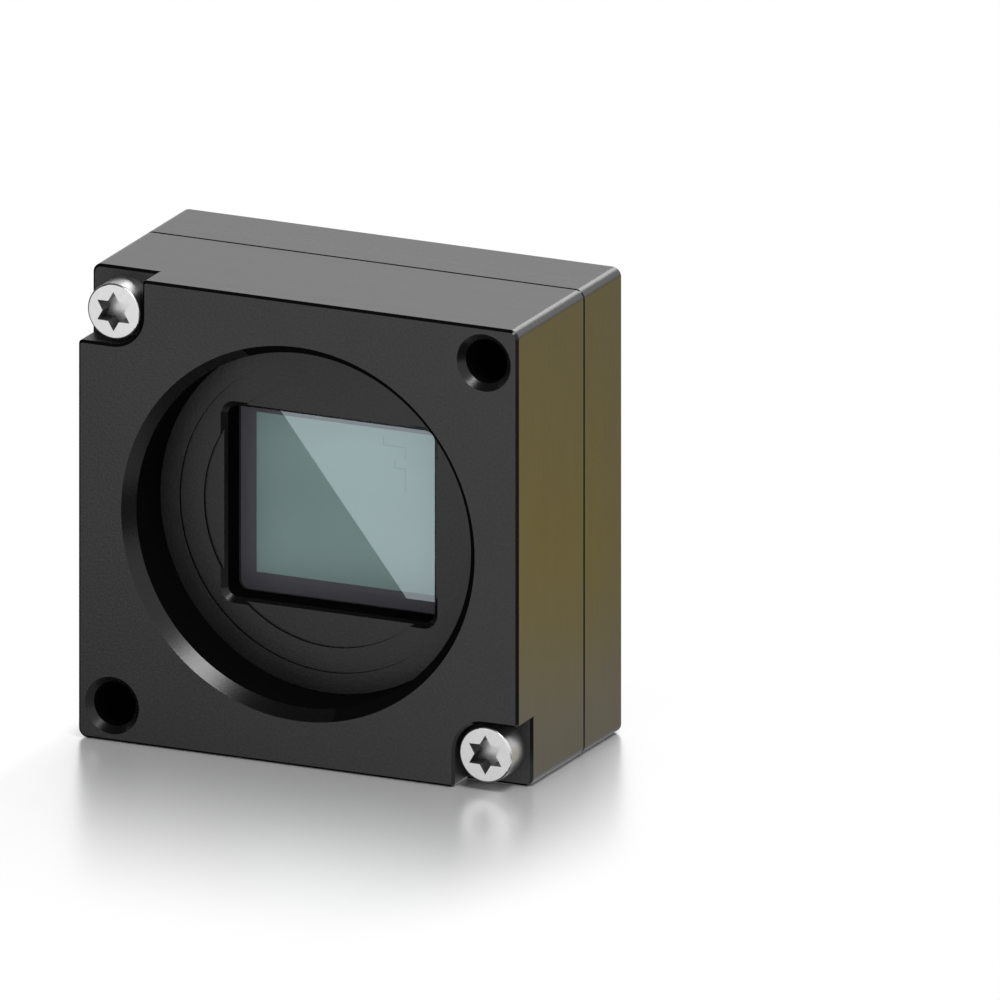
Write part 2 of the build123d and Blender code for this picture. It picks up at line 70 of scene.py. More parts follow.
# Order of the shells' finishes and of the screws' finishes
# The blackened finish is the matt black of the inner walls, and also painted shade on bevels and
# hole faces turned from the light
BLASTED, BRUSHED, TURNED, BLACKENED_AND_PAINTED_SHADE, RECESSED = range(5)
# The screws' dark finish is painted shade, and the darker steel of their sides is painted shade too
STEEL, STAR_AND_BEVEL_SHADE, SHADED_SIDE = range(3)

# A normal's part along y: a wall lies below the first value, a level face above the second
UPRIGHT, LEVEL = 0.3, 0.95

# Points this close together are one point, and faces this thin are dropped
MERGED, SLIVER = 0.5 * MICRON, 0.2 * MICRON

# How far a cutter reaches past the surface that it leaves
OVERCUT = 0.4 * MM

# Point of a drilled hole: the radius at which it ends, and its half angle
DRILL_TIP, DRILL_ANGLE = 0.02 * MM, math.radians(59)

# Bosses for the board screws: place, radii, and the depths where they and their holes start or end
BOSS_X, BOSS_Z = 8.0 * MM, 3.0 * MM
BOSS_RADIUS, BOSS_HOLE_RADIUS = 1.1 * MM, 0.52 * MM
FRONT_BOSS_HOLE, FRONT_BOSS_END = 5.2 * MM, 6.6 * MM
REAR_BOSS_START, REAR_BOSS_HOLE = 9.0 * MM, 10.4 * MM

# Holes in the rear shell for the housing screws
TAP_RADIUS, TAP_DEPTH = 0.82 * MM, 2.7 * MM

# The housing, from the frame
shell_low, shell_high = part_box("front_housing")
HALF_WIDTH = shell_high.x
HALF_HEIGHT = shell_high.z / 2
FRONT_Y = shell_low.y
REAR_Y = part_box("rear_housing")[1].y

# Sloping faces of the front holes behind this plane get the blackened finish as painted shade
HOLE_SHADE_Y = FRONT_Y + 0.35 * MM

# Walls this close to a side belong to it, and walls this close to a long edge to its rounding
SIDE_REACH, EDGE_REACH = 0.13 * MM, 0.42 * MM

# Corner holes: distance of their axes from both sides, and reach of their faces
HOLE_INSET, HOLE_REACH = 1.65 * MM, 1.35 * MM


def size(label, text, millimetres):
    """A length that a user may change."""
    return bpy.props.FloatProperty(
        name=label,
        description=text,
        default=millimetres * MM,
        precision=5,
        unit="LENGTH",
        subtype="DISTANCE",
    )


def share(label, text, value, top=1.0):
    """A plain number, such as a roughness or a strength."""
    return bpy.props.FloatProperty(
        name=label, description=text, default=value, min=0.0, max=top, precision=4
    )


def angle(label, text, degrees):
    """An angle that a user may change."""
    return bpy.props.FloatProperty(
        name=label,
        description=text,
        default=math.radians(degrees),
        unit="ROTATION",
        subtype="ANGLE",
    )


def count(label, text, value):
    """A number of like parts."""
    return bpy.props.IntProperty(name=label, description=text, default=value, min=1, max=100)


def colour(label, text, red, green, blue):
    """A linear colour."""
    return bpy.props.FloatVectorProperty(
        name=label,
        description=text,
        default=(red, green, blue, 1.0),
        size=4,
        min=0.0,
        max=1.0,
        subtype="COLOR",
    )


class HousingSizes(bpy.types.PropertyGroup):
    """Sizes of the two machined shells; depths are counted back from the front face"""

    front_depth: size("Front shell depth", "Depth of the seam between the shells", 6.85)
    edge_radius: size("Edge radius", "Rounding of the four long edges", 0.42)
    edge_chamfer: size("Edge chamfer", "Bevel round the front and rear faces", 0.12)
    seam_chamfer: size("Seam chamfer", "Bevel on each side of the seam", 0.08)
    recess_radius: size("Recess radius", "Radius of the lens recess behind its lead-in", 8.1)
    lead_in: size("Lead-in", "Widening of the recess at the front face", 0.46)
    lead_in_depth: size("Lead-in depth", "Depth of the widened mouth", 0.6)
    ledge_depth: size("Ledge depth", "Depth of the outermost ring of the recess floor", 3.1)
    outer_step_radius: size("Outer step radius", "Radius of the first step of the floor", 7.18)
    inner_step_radius: size("Inner step radius", "Radius of the second step of the floor", 6.06)
    step: size("Step", "Height of each step of the floor", 0.12)
    window_width: size("Window width", "Width of the sensor window", 10.0)
    window_height: size("Window height", "Height of the sensor window", 8.75)
    window_radius: size("Window corner", "Corner radius of the sensor window", 0.45)
    window_chamfer: size("Window chamfer", "Bevel of the window below the lowest floor", 0.13)
    web: size("Web", "Thickness of the wall behind the recess", 1.26)
    corner_inset: size("Corner inset", "Distance of the corner holes from both sides", 1.65)
    thread_radius: size("Thread radius", "Radius of the tapped holes in the front", 1.01)
    countersink: size("Countersink", "Radius of their countersunk mouths", 1.31)
    thread_depth: size("Thread depth", "Depth of the tapped holes in the front", 3.2)
    pitch: size("Thread pitch", "Pitch of the threads in the front", 0.45)
    pocket_depth: size("Pocket depth", "Depth of the two screw pockets", 1.5)
    pocket_reach: size("Pocket reach", "Reach of a pocket from both sides", 3.1)
    pocket_radius: size("Pocket radius", "Inner corner radius of a pocket", 1.45)
    mouth_radius: size("Mouth radius", "Rounding where a pocket runs out through a side", 0.2)
    shank_radius: size("Shank hole radius", "Radius of the holes for the housing screws", 0.86)
    side_wall: size("Side wall", "Thickness of the side walls", 1.2)
    rear_wall: size("Rear wall", "Thickness of the rear wall", 0.9)
    post_gap: size("Post gap", "Half of the space between the corner posts", 6.65)
    mill_radius: size("Mill radius", "Corner radius of the milled inside", 0.5)
    lip_width: size("Lip width", "Thickness of the lip that joins the shells", 0.5)
    lip_height: size("Lip height", "Height of that lip", 0.45)
    lip_clearance: size("Lip clearance", "Room round the lip", 0.05)


class SocketSizes(bpy.types.PropertyGroup):
    """Sizes of what opens through the rear wall"""

    usb_rise: size("Socket rise", "Height of the data socket above the middle", -7.55)
    usb_width: size("Socket opening width", "Width of its opening in the rear wall", 9.14)
    usb_height: size("Socket opening height", "Height of its opening in the rear wall", 3.36)
    io_rise: size("Signal socket rise", "Height of the signal socket above the middle", 6.7)
    io_width: size("Signal opening width", "Width of the opening of the signal socket", 7.2)
    io_height: size("Signal opening height", "Height of the opening of the signal socket", 3.0)
    light_offset: size("Light offset", "Distance of the status light from the middle", 5.3)
    light_radius: size("Light radius", "Radius of the hole of the status light", 0.63)
    lock_offset: size("Lock offset", "Distance of the locking threads from the middle", 7.7)
    lock_radius: size("Lock radius", "Radius of the locking threads", 0.8)
    lock_mouth: size("Lock mouth", "Radius of their countersunk mouths", 1.05)
    lock_depth: size("Lock depth", "Depth of the locking threads", 2.2)
    lock_pitch: size("Lock pitch", "Pitch of the locking threads", 0.4)
    opening_chamfer: size("Opening chamfer", "Bevel round the openings of the rear wall", 0.08)


class ScrewSizes(bpy.types.PropertyGroup):
    """Sizes of the two housing screws"""

    head_radius: size("Head radius", "Radius of the cylinder head", 1.27)
    head_height: size("Head height", "Height of the cylinder head", 1.35)
    bevel: size("Bevel", "Bevel round the head", 0.1)
    star_outer: size("Star points", "Distance of the star's points from the axis", 0.9)
    star_inner: size("Star hollows", "Distance of the star's hollows from the axis", 0.53)
    star_depth: size("Star depth", "Depth of the star recess", 0.85)
    shank: size("Shank radius", "Radius of the threaded shank", 0.8)
    reach: size("Reach", "Length of the shank under the head", 7.75)
    tip_angle: angle("Tip angle", "Half angle of the cone at the bottom of the star", 84.0)


class RowSizes(bpy.types.PropertyGroup):
    """Sizes and spacing of the contacts, pins and capacitors"""

    contacts: count("Contacts", "Contacts on each side of the tongue", 12)
    contact_pitch: size("Contact pitch", "Spacing of the contacts", 0.5)
    contact_width: size("Contact width", "Width of a contact", 0.25)
    contact_thickness: size("Contact thickness", "Height of a contact above the tongue", 0.05)
    contact_bevel: size("Contact bevel", "Bevel at the ends of a contact", 0.02)
    pins: count("Pins", "Pins of the signal socket", 5)
    pin_pitch: size("Pin pitch", "Spacing of the pins", 1.2)
    pin_size: size("Pin size", "Width of a square pin", 0.3)
    pin_point: size("Pin point", "Length of the tapered end of a pin", 0.1)
    capacitor_rows: count("Capacitors", "Capacitors in each column", 5)
    capacitor_pitch: size("Capacitor pitch", "Spacing of the capacitors", 1.5)
    capacitor_offset: size("Capacitor offset", "Distance of a column from the middle", 5.3)
    capacitor_length: size("Capacitor length", "Length of a capacitor", 1.0)
    capacitor_width: size("Capacitor width", "Width of a capacitor", 0.5)
    cap_length: size("End cap", "Length of a tinned end", 0.25)


class StageSettings(bpy.types.PropertyGroup):
    """Camera, floor, lights and cards"""

    azimuth: angle("Azimuth", "Turn of the camera to the right of the front", 25.1)
    elevation: angle("Elevation", "Height of the camera above the horizon", 16.84)
    picture_width: size("Picture width", "Width that the camera sees", 43.84)
    aim_right: size("Aim right", "Aim to the right of the front face's middle", 8.862)
    aim_up: size("Aim up", "Aim above the front face's middle", 1.50)
    stand_off: size("Stand-off", "Distance of the camera", 500.0)
    sky: share("Sky", "Strength of the even light from all round", 0.55)
    key_power: share("Key power", "Power of the key light in watts", 0.1, 50.0)
    key_side: size("Key side", "Width of the key light", 42.0)
    rim_power: share("Rim power", "Power of the light behind in watts", 0.25, 50.0)
    floor_gloss: share("Floor gloss", "Share of the floor's shine close to the object", 0.66)
    floor_roughness: share("Floor roughness", "Blur of the floor's reflection", 0.28)
    floor_front: size("Front fade", "Distance at which the reflection has faded in front", 25.0)
    floor_left: size("Left fade", "Distance at which it has faded on the left", 1.2)
    floor_right: size("Right fade", "Distance at which it has faded on the right", 10.0)
    floor_rear: size("Rear fade", "Distance at which it has faded behind", 10.0)
    # Painted shade of the floor as reflections see it, darker towards the object's front left
    fall_level: share("Mirrored level", "Brightness of the floor's mirror image", 0.54)
    fall_ahead: share("Mirrored rise ahead", "How it rises for each metre ahead", 16.0, 100.0)
    fall_aside: share("Mirrored rise aside", "How it rises for each metre rightwards", 15.0, 100.0)
    floor_colour: colour("Floor", "Colour of the floor", 0.9, 0.9, 0.905)
    warm_colour: colour("Warm card", "Colour that the right side mirrors", 1.0, 0.73, 0.02)
    # Painted shadow on the warm card near the object
    shaded_near_colour: colour("Near card", "Colour that the right side's foot mirrors", 0.70, 0.63, 0.44)
    glow_colour: colour("Window glow", "Colour that the cover glass mirrors", 0.8, 0.93, 1.0)
    glow_strength: share("Window glow strength", "Strength of that colour", 1.07, 10.0)
    edge_top: size("Glow edge top", "Place of the glow's upper end across the middle", -4.93)
    edge_bottom: size("Glow edge bottom", "Place of its lower end across the middle", 6.62)


class FinishColours(bpy.types.PropertyGroup):
    """Colours of the finishes"""

    anodise: colour("Anodise", "Black anodised aluminium", 0.012, 0.012, 0.0125)
    # The inside colour is also painted shade on the shells' bevels and hole faces turned from the
    # light
    inside: colour("Inside", "Matt black of the bore and the window walls", 0.003, 0.003, 0.003)
    steel: colour("Steel", "Screw steel", 0.8, 0.8, 0.805)
    # Painted shade: this dark colour stands in for shade on the star's steel walls and on screw
    # bevels turned from the light
    star: colour("Star", "Dark walls of the star recess", 0.035, 0.035, 0.036)
    pixels: colour("Pixels", "Pixel field of the sensor", 0.35, 0.505, 0.495)
    border: colour("Border", "Border of the sensor die", 0.165, 0.16, 0.185)
    rubber: colour("Rubber", "Gasket rubber", 0.006, 0.006, 0.006)
    board: colour("Board", "Solder resist of the boards", 0.01, 0.06, 0.03)
    resin: colour("Resin", "Moulded chips and connectors", 0.018, 0.018, 0.02)
    gold: colour("Gold", "Plated contacts", 0.83, 0.61, 0.26)


# Outlines: lists of (x, z) from the middle of the housing, anticlockwise seen from the front


def arc(x, z, radius, start, end):
    """Points along an arc; a falling angle runs clockwise, for a hollow corner."""
    points = []
    for step in range(CORNER_STEPS + 1):
        turn = math.radians(start + (end - start) * step / CORNER_STEPS)
        points.append((x + radius * math.cos(turn), z + radius * math.sin(turn)))
    return points


def rounded_rectangle(half_width, half_height, radius, grow=0.0):
    """Rounded rectangle, grown outwards on all sides by grow."""
    x, z = half_width - radius, half_height - radius
    reach = radius + grow
    return (
        arc(x, z, reach, 0, 90)
        + arc(-x, z, reach, 90, 180)
        + arc(-x, -z, reach, 180, 270)
        + arc(x, -z, reach, 270, 360)
    )


def half_turned(points):
    """The same points turned by half a turn about the middle."""
    return [(-x, -z) for x, z in points]


def face_outline(sizes, grow=0.0):
    """Front face: a rounded square less the open pockets at its upper left and lower right."""
    corner, mouth, pocket = sizes.edge_radius, sizes.mouth_radius, sizes.pocket_radius
    reach = sizes.pocket_reach
    wall_x, wall_z = -HALF_WIDTH + reach, HALF_HEIGHT - reach
    half = arc(HALF_WIDTH - corner, HALF_HEIGHT - corner, corner + grow, 0, 90)
    half += arc(wall_x + mouth, HALF_HEIGHT - mouth, mouth + grow, 90, 180)
    half += arc(wall_x - pocket, wall_z + pocket, pocket - grow, 0, -90)
    half += arc(-HALF_WIDTH + mouth, wall_z - mouth, mouth + grow, 90, 180)
    return half + half_turned(half)


def plus_outline(sizes, grow=0.0):
    """Space between the corner posts: a plus with rounded corners."""
    arm_x, arm_z = HALF_WIDTH - sizes.side_wall + grow, HALF_HEIGHT - sizes.side_wall + grow
    gap, mill = sizes.post_gap + grow, sizes.mill_radius
    half = arc(arm_x - mill, gap - mill, mill, 0, 90)
    half += arc(gap + mill, gap + mill, mill, 270, 180)
    half += arc(gap - mill, arm_z - mill, mill, 0, 90)
    half += arc(-gap + mill, arm_z - mill, mill, 90, 180)
    half += arc(-gap - mill, gap + mill, mill, 0, -90)
    half += arc(-arm_x + mill, gap - mill, mill, 90, 180)
    return half + half_turned(half)


def circle(radius, steps=LATHE_STEPS):
    """Points round a circle about the origin."""
    turns = [2 * math.pi * step / steps for step in range(steps)]
    return [(radius * math.cos(turn), radius * math.sin(turn)) for turn in turns]


# Meshes


def add_piece(name, mesh):
    """Link a new object with this mesh."""
    piece = bpy.data.objects.new(name, mesh)
    bpy.context.scene.collection.objects.link(piece)
    return piece


def drop(piece):
    """Remove an object and its mesh."""
    mesh = piece.data
    bpy.data.objects.remove(piece)
    bpy.data.meshes.remove(mesh)


def stack(name, rings, hollow=False):
    """Solid through rings of (depth, outline), with flat ends or, if hollow, closed on itself."""
    solid = bmesh.new()
    loops = []
    for depth, outline in rings:
        loops.append([solid.verts.new((x, FRONT_Y + depth, HALF_HEIGHT + z)) for x, z in outline])
    following_loops = loops[1:] + loops[:1] if hollow else loops[1:]
    for front, rear in zip(loops, following_loops):
        for step in range(len(front)):
            following = (step + 1) % len(front)
            solid.faces.new((front[step], rear[step], rear[following], front[following]))
    if not hollow:
        solid.faces.new(loops[0])
        solid.faces.new(list(reversed(loops[-1])))
    bmesh.ops.remove_doubles(solid, verts=solid.verts, dist=MERGED)
    bmesh.ops.recalc_face_normals(solid, faces=solid.faces)
    mesh = bpy.data.meshes.new(name)
    solid.to_mesh(mesh)
    solid.free()
    return add_piece(name, mesh)


def turned(name, profile, x=0.0, z=0.0, steps=LATHE_STEPS, hollow=False):
    """Solid of revolution about an axis that runs into the camera: profile is (depth, radius)."""
    rings = []
    for depth, radius in profile:
        rings.append((depth, [(x + across, z + up) for across, up in circle(radius, steps)]))
    return stack(name, rings, hollow)


def block(name, half, start, end, first, last):
    """Bar with bevelled ends: half is its half width, half height and corner radius."""
    plain = rounded_rectangle(*half)
    rings = [
        (start, rounded_rectangle(*half, -first)),
        (start + first, plain),
        (end - last, plain),
        (end, rounded_rectangle(*half, -last)),
    ]
    return stack(name, rings)


def settle(piece):
    """Replace a piece's mesh with what its modifiers make of it."""
    graph = bpy.context.evaluated_depsgraph_get()
    mesh = bpy.data.meshes.new_from_object(piece.evaluated_get(graph), depsgraph=graph)
    old = piece.data
    piece.modifiers.clear()
    piece.data = mesh
    bpy.data.meshes.remove(old)
    mesh.name = piece.name


def combine(piece, tools, operation):
    """Join tools to a piece or cut them from it, and remove them."""
    for tool in tools:
        modifier = piece.modifiers.new(tool.name, "BOOLEAN")
        modifier.operation = operation
        modifier.solver = "EXACT"
        modifier.object = tool
        settle(piece)
        drop(tool)


def check_closed(piece):
    """Stop if a solid has come out open."""
    solid = bmesh.new()
    solid.from_mesh(piece.data)
    loose = sum(1 for edge in solid.edges if len(edge.link_faces) != 2)
    solid.free()
    if loose:
        raise RuntimeError(f"{piece.name} is not closed: {loose} edges")


def clean(piece):
    """Merge coincident points, drop slivers and shade smooth between sharp edges, then check."""
    solid = bmesh.new()
    solid.from_mesh(piece.data)
    bmesh.ops.remove_doubles(solid, verts=solid.verts, dist=MERGED)
    bmesh.ops.dissolve_degenerate(solid, edges=solid.edges, dist=SLIVER)
    solid.to_mesh(piece.data)
    solid.free()
    piece.data.shade_smooth()
    piece.data.set_sharp_from_angle(angle=SHARP_ANGLE)
    weighted = piece.modifiers.new("Flat faces stay flat", "WEIGHTED_NORMAL")
    weighted.keep_sharp = True
    settle(piece)
    check_closed(piece)


def hand_over(piece, materials, slot, *nodes):
    """Give a finished piece its materials and body, and let it stand for CAD nodes; the slot
    argument is not used.
    """
    marks = [face.material_index for face in piece.data.polygons]
    piece.data.materials.clear()
    for material in materials:
        piece.data.materials.append(material)
    piece.data.polygons.foreach_set("material_index", marks)
    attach(piece, "root")
    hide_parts(*nodes)


# Materials


class Nodes:
    """A shader tree, with short calls to add and link its nodes."""

    def __init__(self, tree):
        self.tree = tree

    def add(self, kind, **settings):
        node = self.tree.nodes.new("ShaderNode" + kind)
        for key, value in settings.items():
            setattr(node, key, value)
        return node

    def put(self, socket, value):
        """Link a socket to an input, or set a value."""
        if isinstance(value, bpy.types.NodeSocket):
            self.tree.links.new(value, socket)
        else:
            socket.default_value = value

    def feed(self, node, **values):
        """Fill a node's inputs by name, where _ stands for a space, and give its first output."""
        for key, value in values.items():
            self.put(node.inputs[key.replace("_", " ")], value)
        return node.outputs[0]

    def fill(self, node, *values):
        """Fill a node's inputs in their order, and give its first output."""
        for socket, value in zip(node.inputs, values):
            self.put(socket, value)
        return node.outputs[0]

    def math(self, operation, first, second=0.0, clamp=False):
        return self.fill(self.add("Math", operation=operation, use_clamp=clamp), first, second)

    def mix(self, factor, first, second):
        """Mix of two shaders."""
        return self.fill(self.add("MixShader"), factor, first, second)

    def emission(self, shade, strength=1.0):
        return self.feed(self.add("Emission"), Color=shade, Strength=strength)


class Graph(Nodes):
    """A material's nodes, with its shader and the object coordinates."""

    def __init__(self, name):
        self.material = bpy.data.materials.new(name)
        self.material.use_nodes = True
        super().__init__(self.material.node_tree)
        self.shader = self.tree.nodes["Principled BSDF"]
        self.place = self.add("TexCoord").outputs["Object"]

    def coordinates(self):
        """Object coordinates x, y and z."""
        node = self.add("SeparateXYZ")
        self.fill(node, self.place)
        return node.outputs

    def noise(self, cell, detail=2.0):
        """Noise with cells of this size along each axis, in metres."""
        scale = tuple(1.0 / length for length in cell)
        mapped = self.feed(self.add("Mapping", vector_type="POINT"), Scale=scale, Vector=self.place)
        node = self.add("TexNoise")
        return self.feed(node, Scale=1.0, Detail=detail, Roughness=0.5, Vector=mapped)

    def spread(self, value, low, high, start=0.3, end=0.7):
        """A value from start to end becomes one from low to high."""
        node = self.add("MapRange", clamp=True)
        return self.feed(node, Value=value, From_Min=start, From_Max=end, To_Min=low, To_Max=high)

    def blend(self, factor, first, second):
        """Mix of two colours, whose sockets are the node's seventh and eighth."""
        node = self.add("Mix", data_type="RGBA")
        for number, value in ((0, factor), (6, first), (7, second)):
            self.put(node.inputs[number], value)
        return node.outputs[2]

    def bump(self, height, depth):
        """Bump by a height from 0 to 1 that stands for this depth in metres."""
        return self.feed(self.add("Bump"), Distance=depth, Height=height)

    def show(self, surface):
        """Show this in place of the principled shader."""
        self.tree.nodes.remove(self.shader)
        self.put(self.tree.nodes["Material Output"].inputs["Surface"], surface)
        return self.material


def even(millimetres):
    """Cell of a grain that is the same along all axes."""
    return (millimetres * MM,) * 3


def tinted(value, factor):
    """A colour made lighter or darker."""
    return tuple(min(1.0, part * factor) for part in tuple(value)[:3]) + (1.0,)


def finish(
    name, base, roughness, cell, depth, metallic=0.0, ior=1.5, variation=0.12, wear=0.1, shine=0.5
):
    """Finish with a grain: its cell and depth in metres, with uneven colour and gloss."""
    graph = Graph(name)
    grain = graph.noise(cell)
    patches = graph.noise(tuple(30 * length for length in cell), detail=1.0)
    contrast = graph.spread(grain, 0.0, 1.0)
    graph.feed(
        graph.shader,
        Base_Color=graph.blend(contrast, tinted(base, 1 - variation), tinted(base, 1 + variation)),
        Roughness=graph.spread(patches, roughness * (1 - wear), roughness * (1 + wear)),
        Metallic=metallic,
        IOR=ior,
        Specular_IOR_Level=shine,
        Normal=graph.bump(grain, depth),
    )
    return graph.material


def clear_finish(name, ior, roughness=0.0, tint=WHITE):
    """Clear glass or acrylic."""
    graph = Graph(name)
    graph.feed(graph.shader, Base_Color=tint, Roughness=roughness, IOR=ior, Transmission_Weight=1.0)
    return graph.material


# Half width and half height of the pixel field
FIELD_HALF = (4.375 * MM, 3.665 * MM)

# Faint lines on the die: middle x and z, half width and half height, in millimetres
DIE_LINES = [
    (1.77, 3.12, 0.018, 0.18),
    (2.30, 2.93, 0.54, 0.018),
    (2.82, 2.65, 0.018, 0.28),
    (2.32, 2.13, 0.018, 0.18),
    (2.57, 1.94, 0.26, 0.018),
    (2.82, 1.37, 0.018, 0.56),
]


def within(graph, point, middle, half):
    """One inside a rectangle about a middle point, and zero outside."""
    tests = []
    for value, centre, reach in zip(point, middle, half):
        off = graph.math("ABSOLUTE", graph.math("SUBTRACT", value, centre))
        tests.append(graph.math("LESS_THAN", off, reach))
    return graph.math("MULTIPLY", *tests)


def sensor_finish(colours):
    """Die with its teal pixel field, slightly uneven as a wafer's coating is."""
    graph = Graph("sensor_die_surface")
    low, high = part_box("sensor_die")
    x, _, z = graph.coordinates()
    point = (x, graph.math("SUBTRACT", z, (low.z + high.z) / 2))
    sheen = graph.noise((6 * MM, 6 * MM, 4 * MM), detail=0.0)
    dim, bright, line_shade = (tinted(colours.pixels, factor) for factor in (0.92, 1.08, 0.72))
    pixels = graph.blend(sheen, dim, bright)
    for line in DIE_LINES:
        lengths = [length * MM for length in line]
        on_line = within(graph, point, lengths[:2], lengths[2:])
        pixels = graph.blend(on_line, pixels, line_shade)
    field = within(graph, point, (0.0, 0.0), FIELD_HALF)
    shade = graph.blend(field, tuple(colours.border), pixels)
    graph.feed(graph.shader, Base_Color=shade, Roughness=0.5, IOR=1.5, Specular_IOR_Level=0.1)
    return graph.material


# Stage


def level_corners(west, east, south, north, height):
    """Corners of a level rectangle that faces up."""
    return [
        (west, south, height),
        (east, south, height),
        (east, north, height),
        (west, north, height),
    ]


def stage_plane(name, corners, material):
    """Flat card or floor through corner points, which isn't part of the object."""
    mesh = bpy.data.meshes.new(name)
    mesh.from_pydata([tuple(corner) for corner in corners], [], [tuple(range(len(corners)))])
    mesh.materials.append(material)
    card = add_piece(name, mesh)
    return card


def hang_card(name, corners, material):
    """Card that shows in reflections only, without a shadow."""
    card = stage_plane(name, corners, material)
    card.visible_camera = False
    card.visible_diffuse = False
    card.visible_transmission = False
    card.visible_volume_scatter = False
    card.visible_shadow = False


def one_sided(graph, shade):
    """Plain emission from a card's front, and nothing from its back."""
    back = graph.add("NewGeometry").outputs["Backfacing"]
    clear = graph.add("BsdfTransparent").outputs[0]
    return graph.show(graph.mix(back, graph.emission(shade), clear))


def warm_finish(settings):
    """Warm card that is paler near the object, a painted shadow where the right side mirrors its
    own shadow.
    """
    graph = Graph("warm_card")
    pale_end, warm_start = 14.0 * MM, 24.0 * MM
    across = graph.spread(graph.coordinates()[0], 0.0, 1.0, pale_end, warm_start)
    shade = graph.blend(across, tuple(settings.shaded_near_colour), tuple(settings.warm_colour))
    return one_sided(graph, shade)


def glass_card_finish(name, shade, strength):
    """Card that only a mirror-smooth surface sees."""
    graph = Graph(name)
    mirror = graph.add("LightPath").outputs["Is Singular Ray"]
    clear = graph.add("BsdfTransparent").outputs[0]
    return graph.show(graph.mix(mirror, clear, graph.emission(shade, strength)))


def mirrored_painted_shade(graph, x, y, settings):
    """Brightness of the floor in reflections, with painted shade that darkens it towards the
    object's front left.
    """
    ahead = graph.math("MULTIPLY", graph.math("SUBTRACT", FRONT_Y, y), settings.fall_ahead)
    aside = graph.math("MULTIPLY", x, settings.fall_aside)
    level = graph.math("ADD", graph.math("ADD", ahead, aside), settings.fall_level)
    darkest, brightest = 0.4, 1.0
    return graph.math("MINIMUM", graph.math("MAXIMUM", level, darkest), brightest)


def floor_finish(settings):
    """Pale floor that mirrors the object close by and is plain white further out."""
    graph = Graph("floor")
    x, y, _ = graph.coordinates()
    total = 0.0
    for inner, outer, reach in (
        (-HALF_WIDTH, x, settings.floor_left),
        (x, HALF_WIDTH, settings.floor_right),
        (FRONT_Y, y, settings.floor_front),
        (y, REAR_Y, settings.floor_rear),
    ):
        past = graph.math("MAXIMUM", graph.math("SUBTRACT", inner, outer), 0.0)
        part = graph.math("DIVIDE", past, reach)
        total = graph.math("ADD", graph.math("MULTIPLY", part, part), total)
    smooth = graph.add("MapRange", interpolation_type="SMOOTHSTEP", clamp=True)
    far = graph.feed(smooth, Value=graph.math("SQRT", total))
    gloss = graph.feed(graph.add("BsdfGlossy"), Color=WHITE, Roughness=settings.floor_roughness)
    matt = graph.feed(graph.add("BsdfDiffuse"), Color=tuple(settings.floor_colour))
    path = graph.add("LightPath").outputs
    seen = graph.mix(far, graph.mix(settings.floor_gloss, matt, gloss), graph.emission(WHITE))
    shown = graph.mix(path["Is Diffuse Ray"], seen, matt)
    # Reflections see the floor as an emission with painted shade near the object
    mirrored = graph.emission(WHITE, mirrored_painted_shade(graph, x, y, settings))
    return graph.show(graph.mix(path["Is Glossy Ray"], shown, mirrored))


def area_light(name, direction, distance, side, power):
    """Square soft light that points at the middle of the housing."""
    lamp = bpy.data.lights.new(name, "AREA")
    lamp.shape = "SQUARE"
    lamp.size = side
    lamp.energy = power
    holder = bpy.data.objects.new(name, lamp)
    bpy.context.scene.collection.objects.link(holder)
    aim = Vector(direction).normalized()
    holder.location = Vector((0.0, 0.0, HALF_HEIGHT)) + aim * distance
    holder.rotation_euler = aim.to_track_quat("Z", "Y").to_euler()


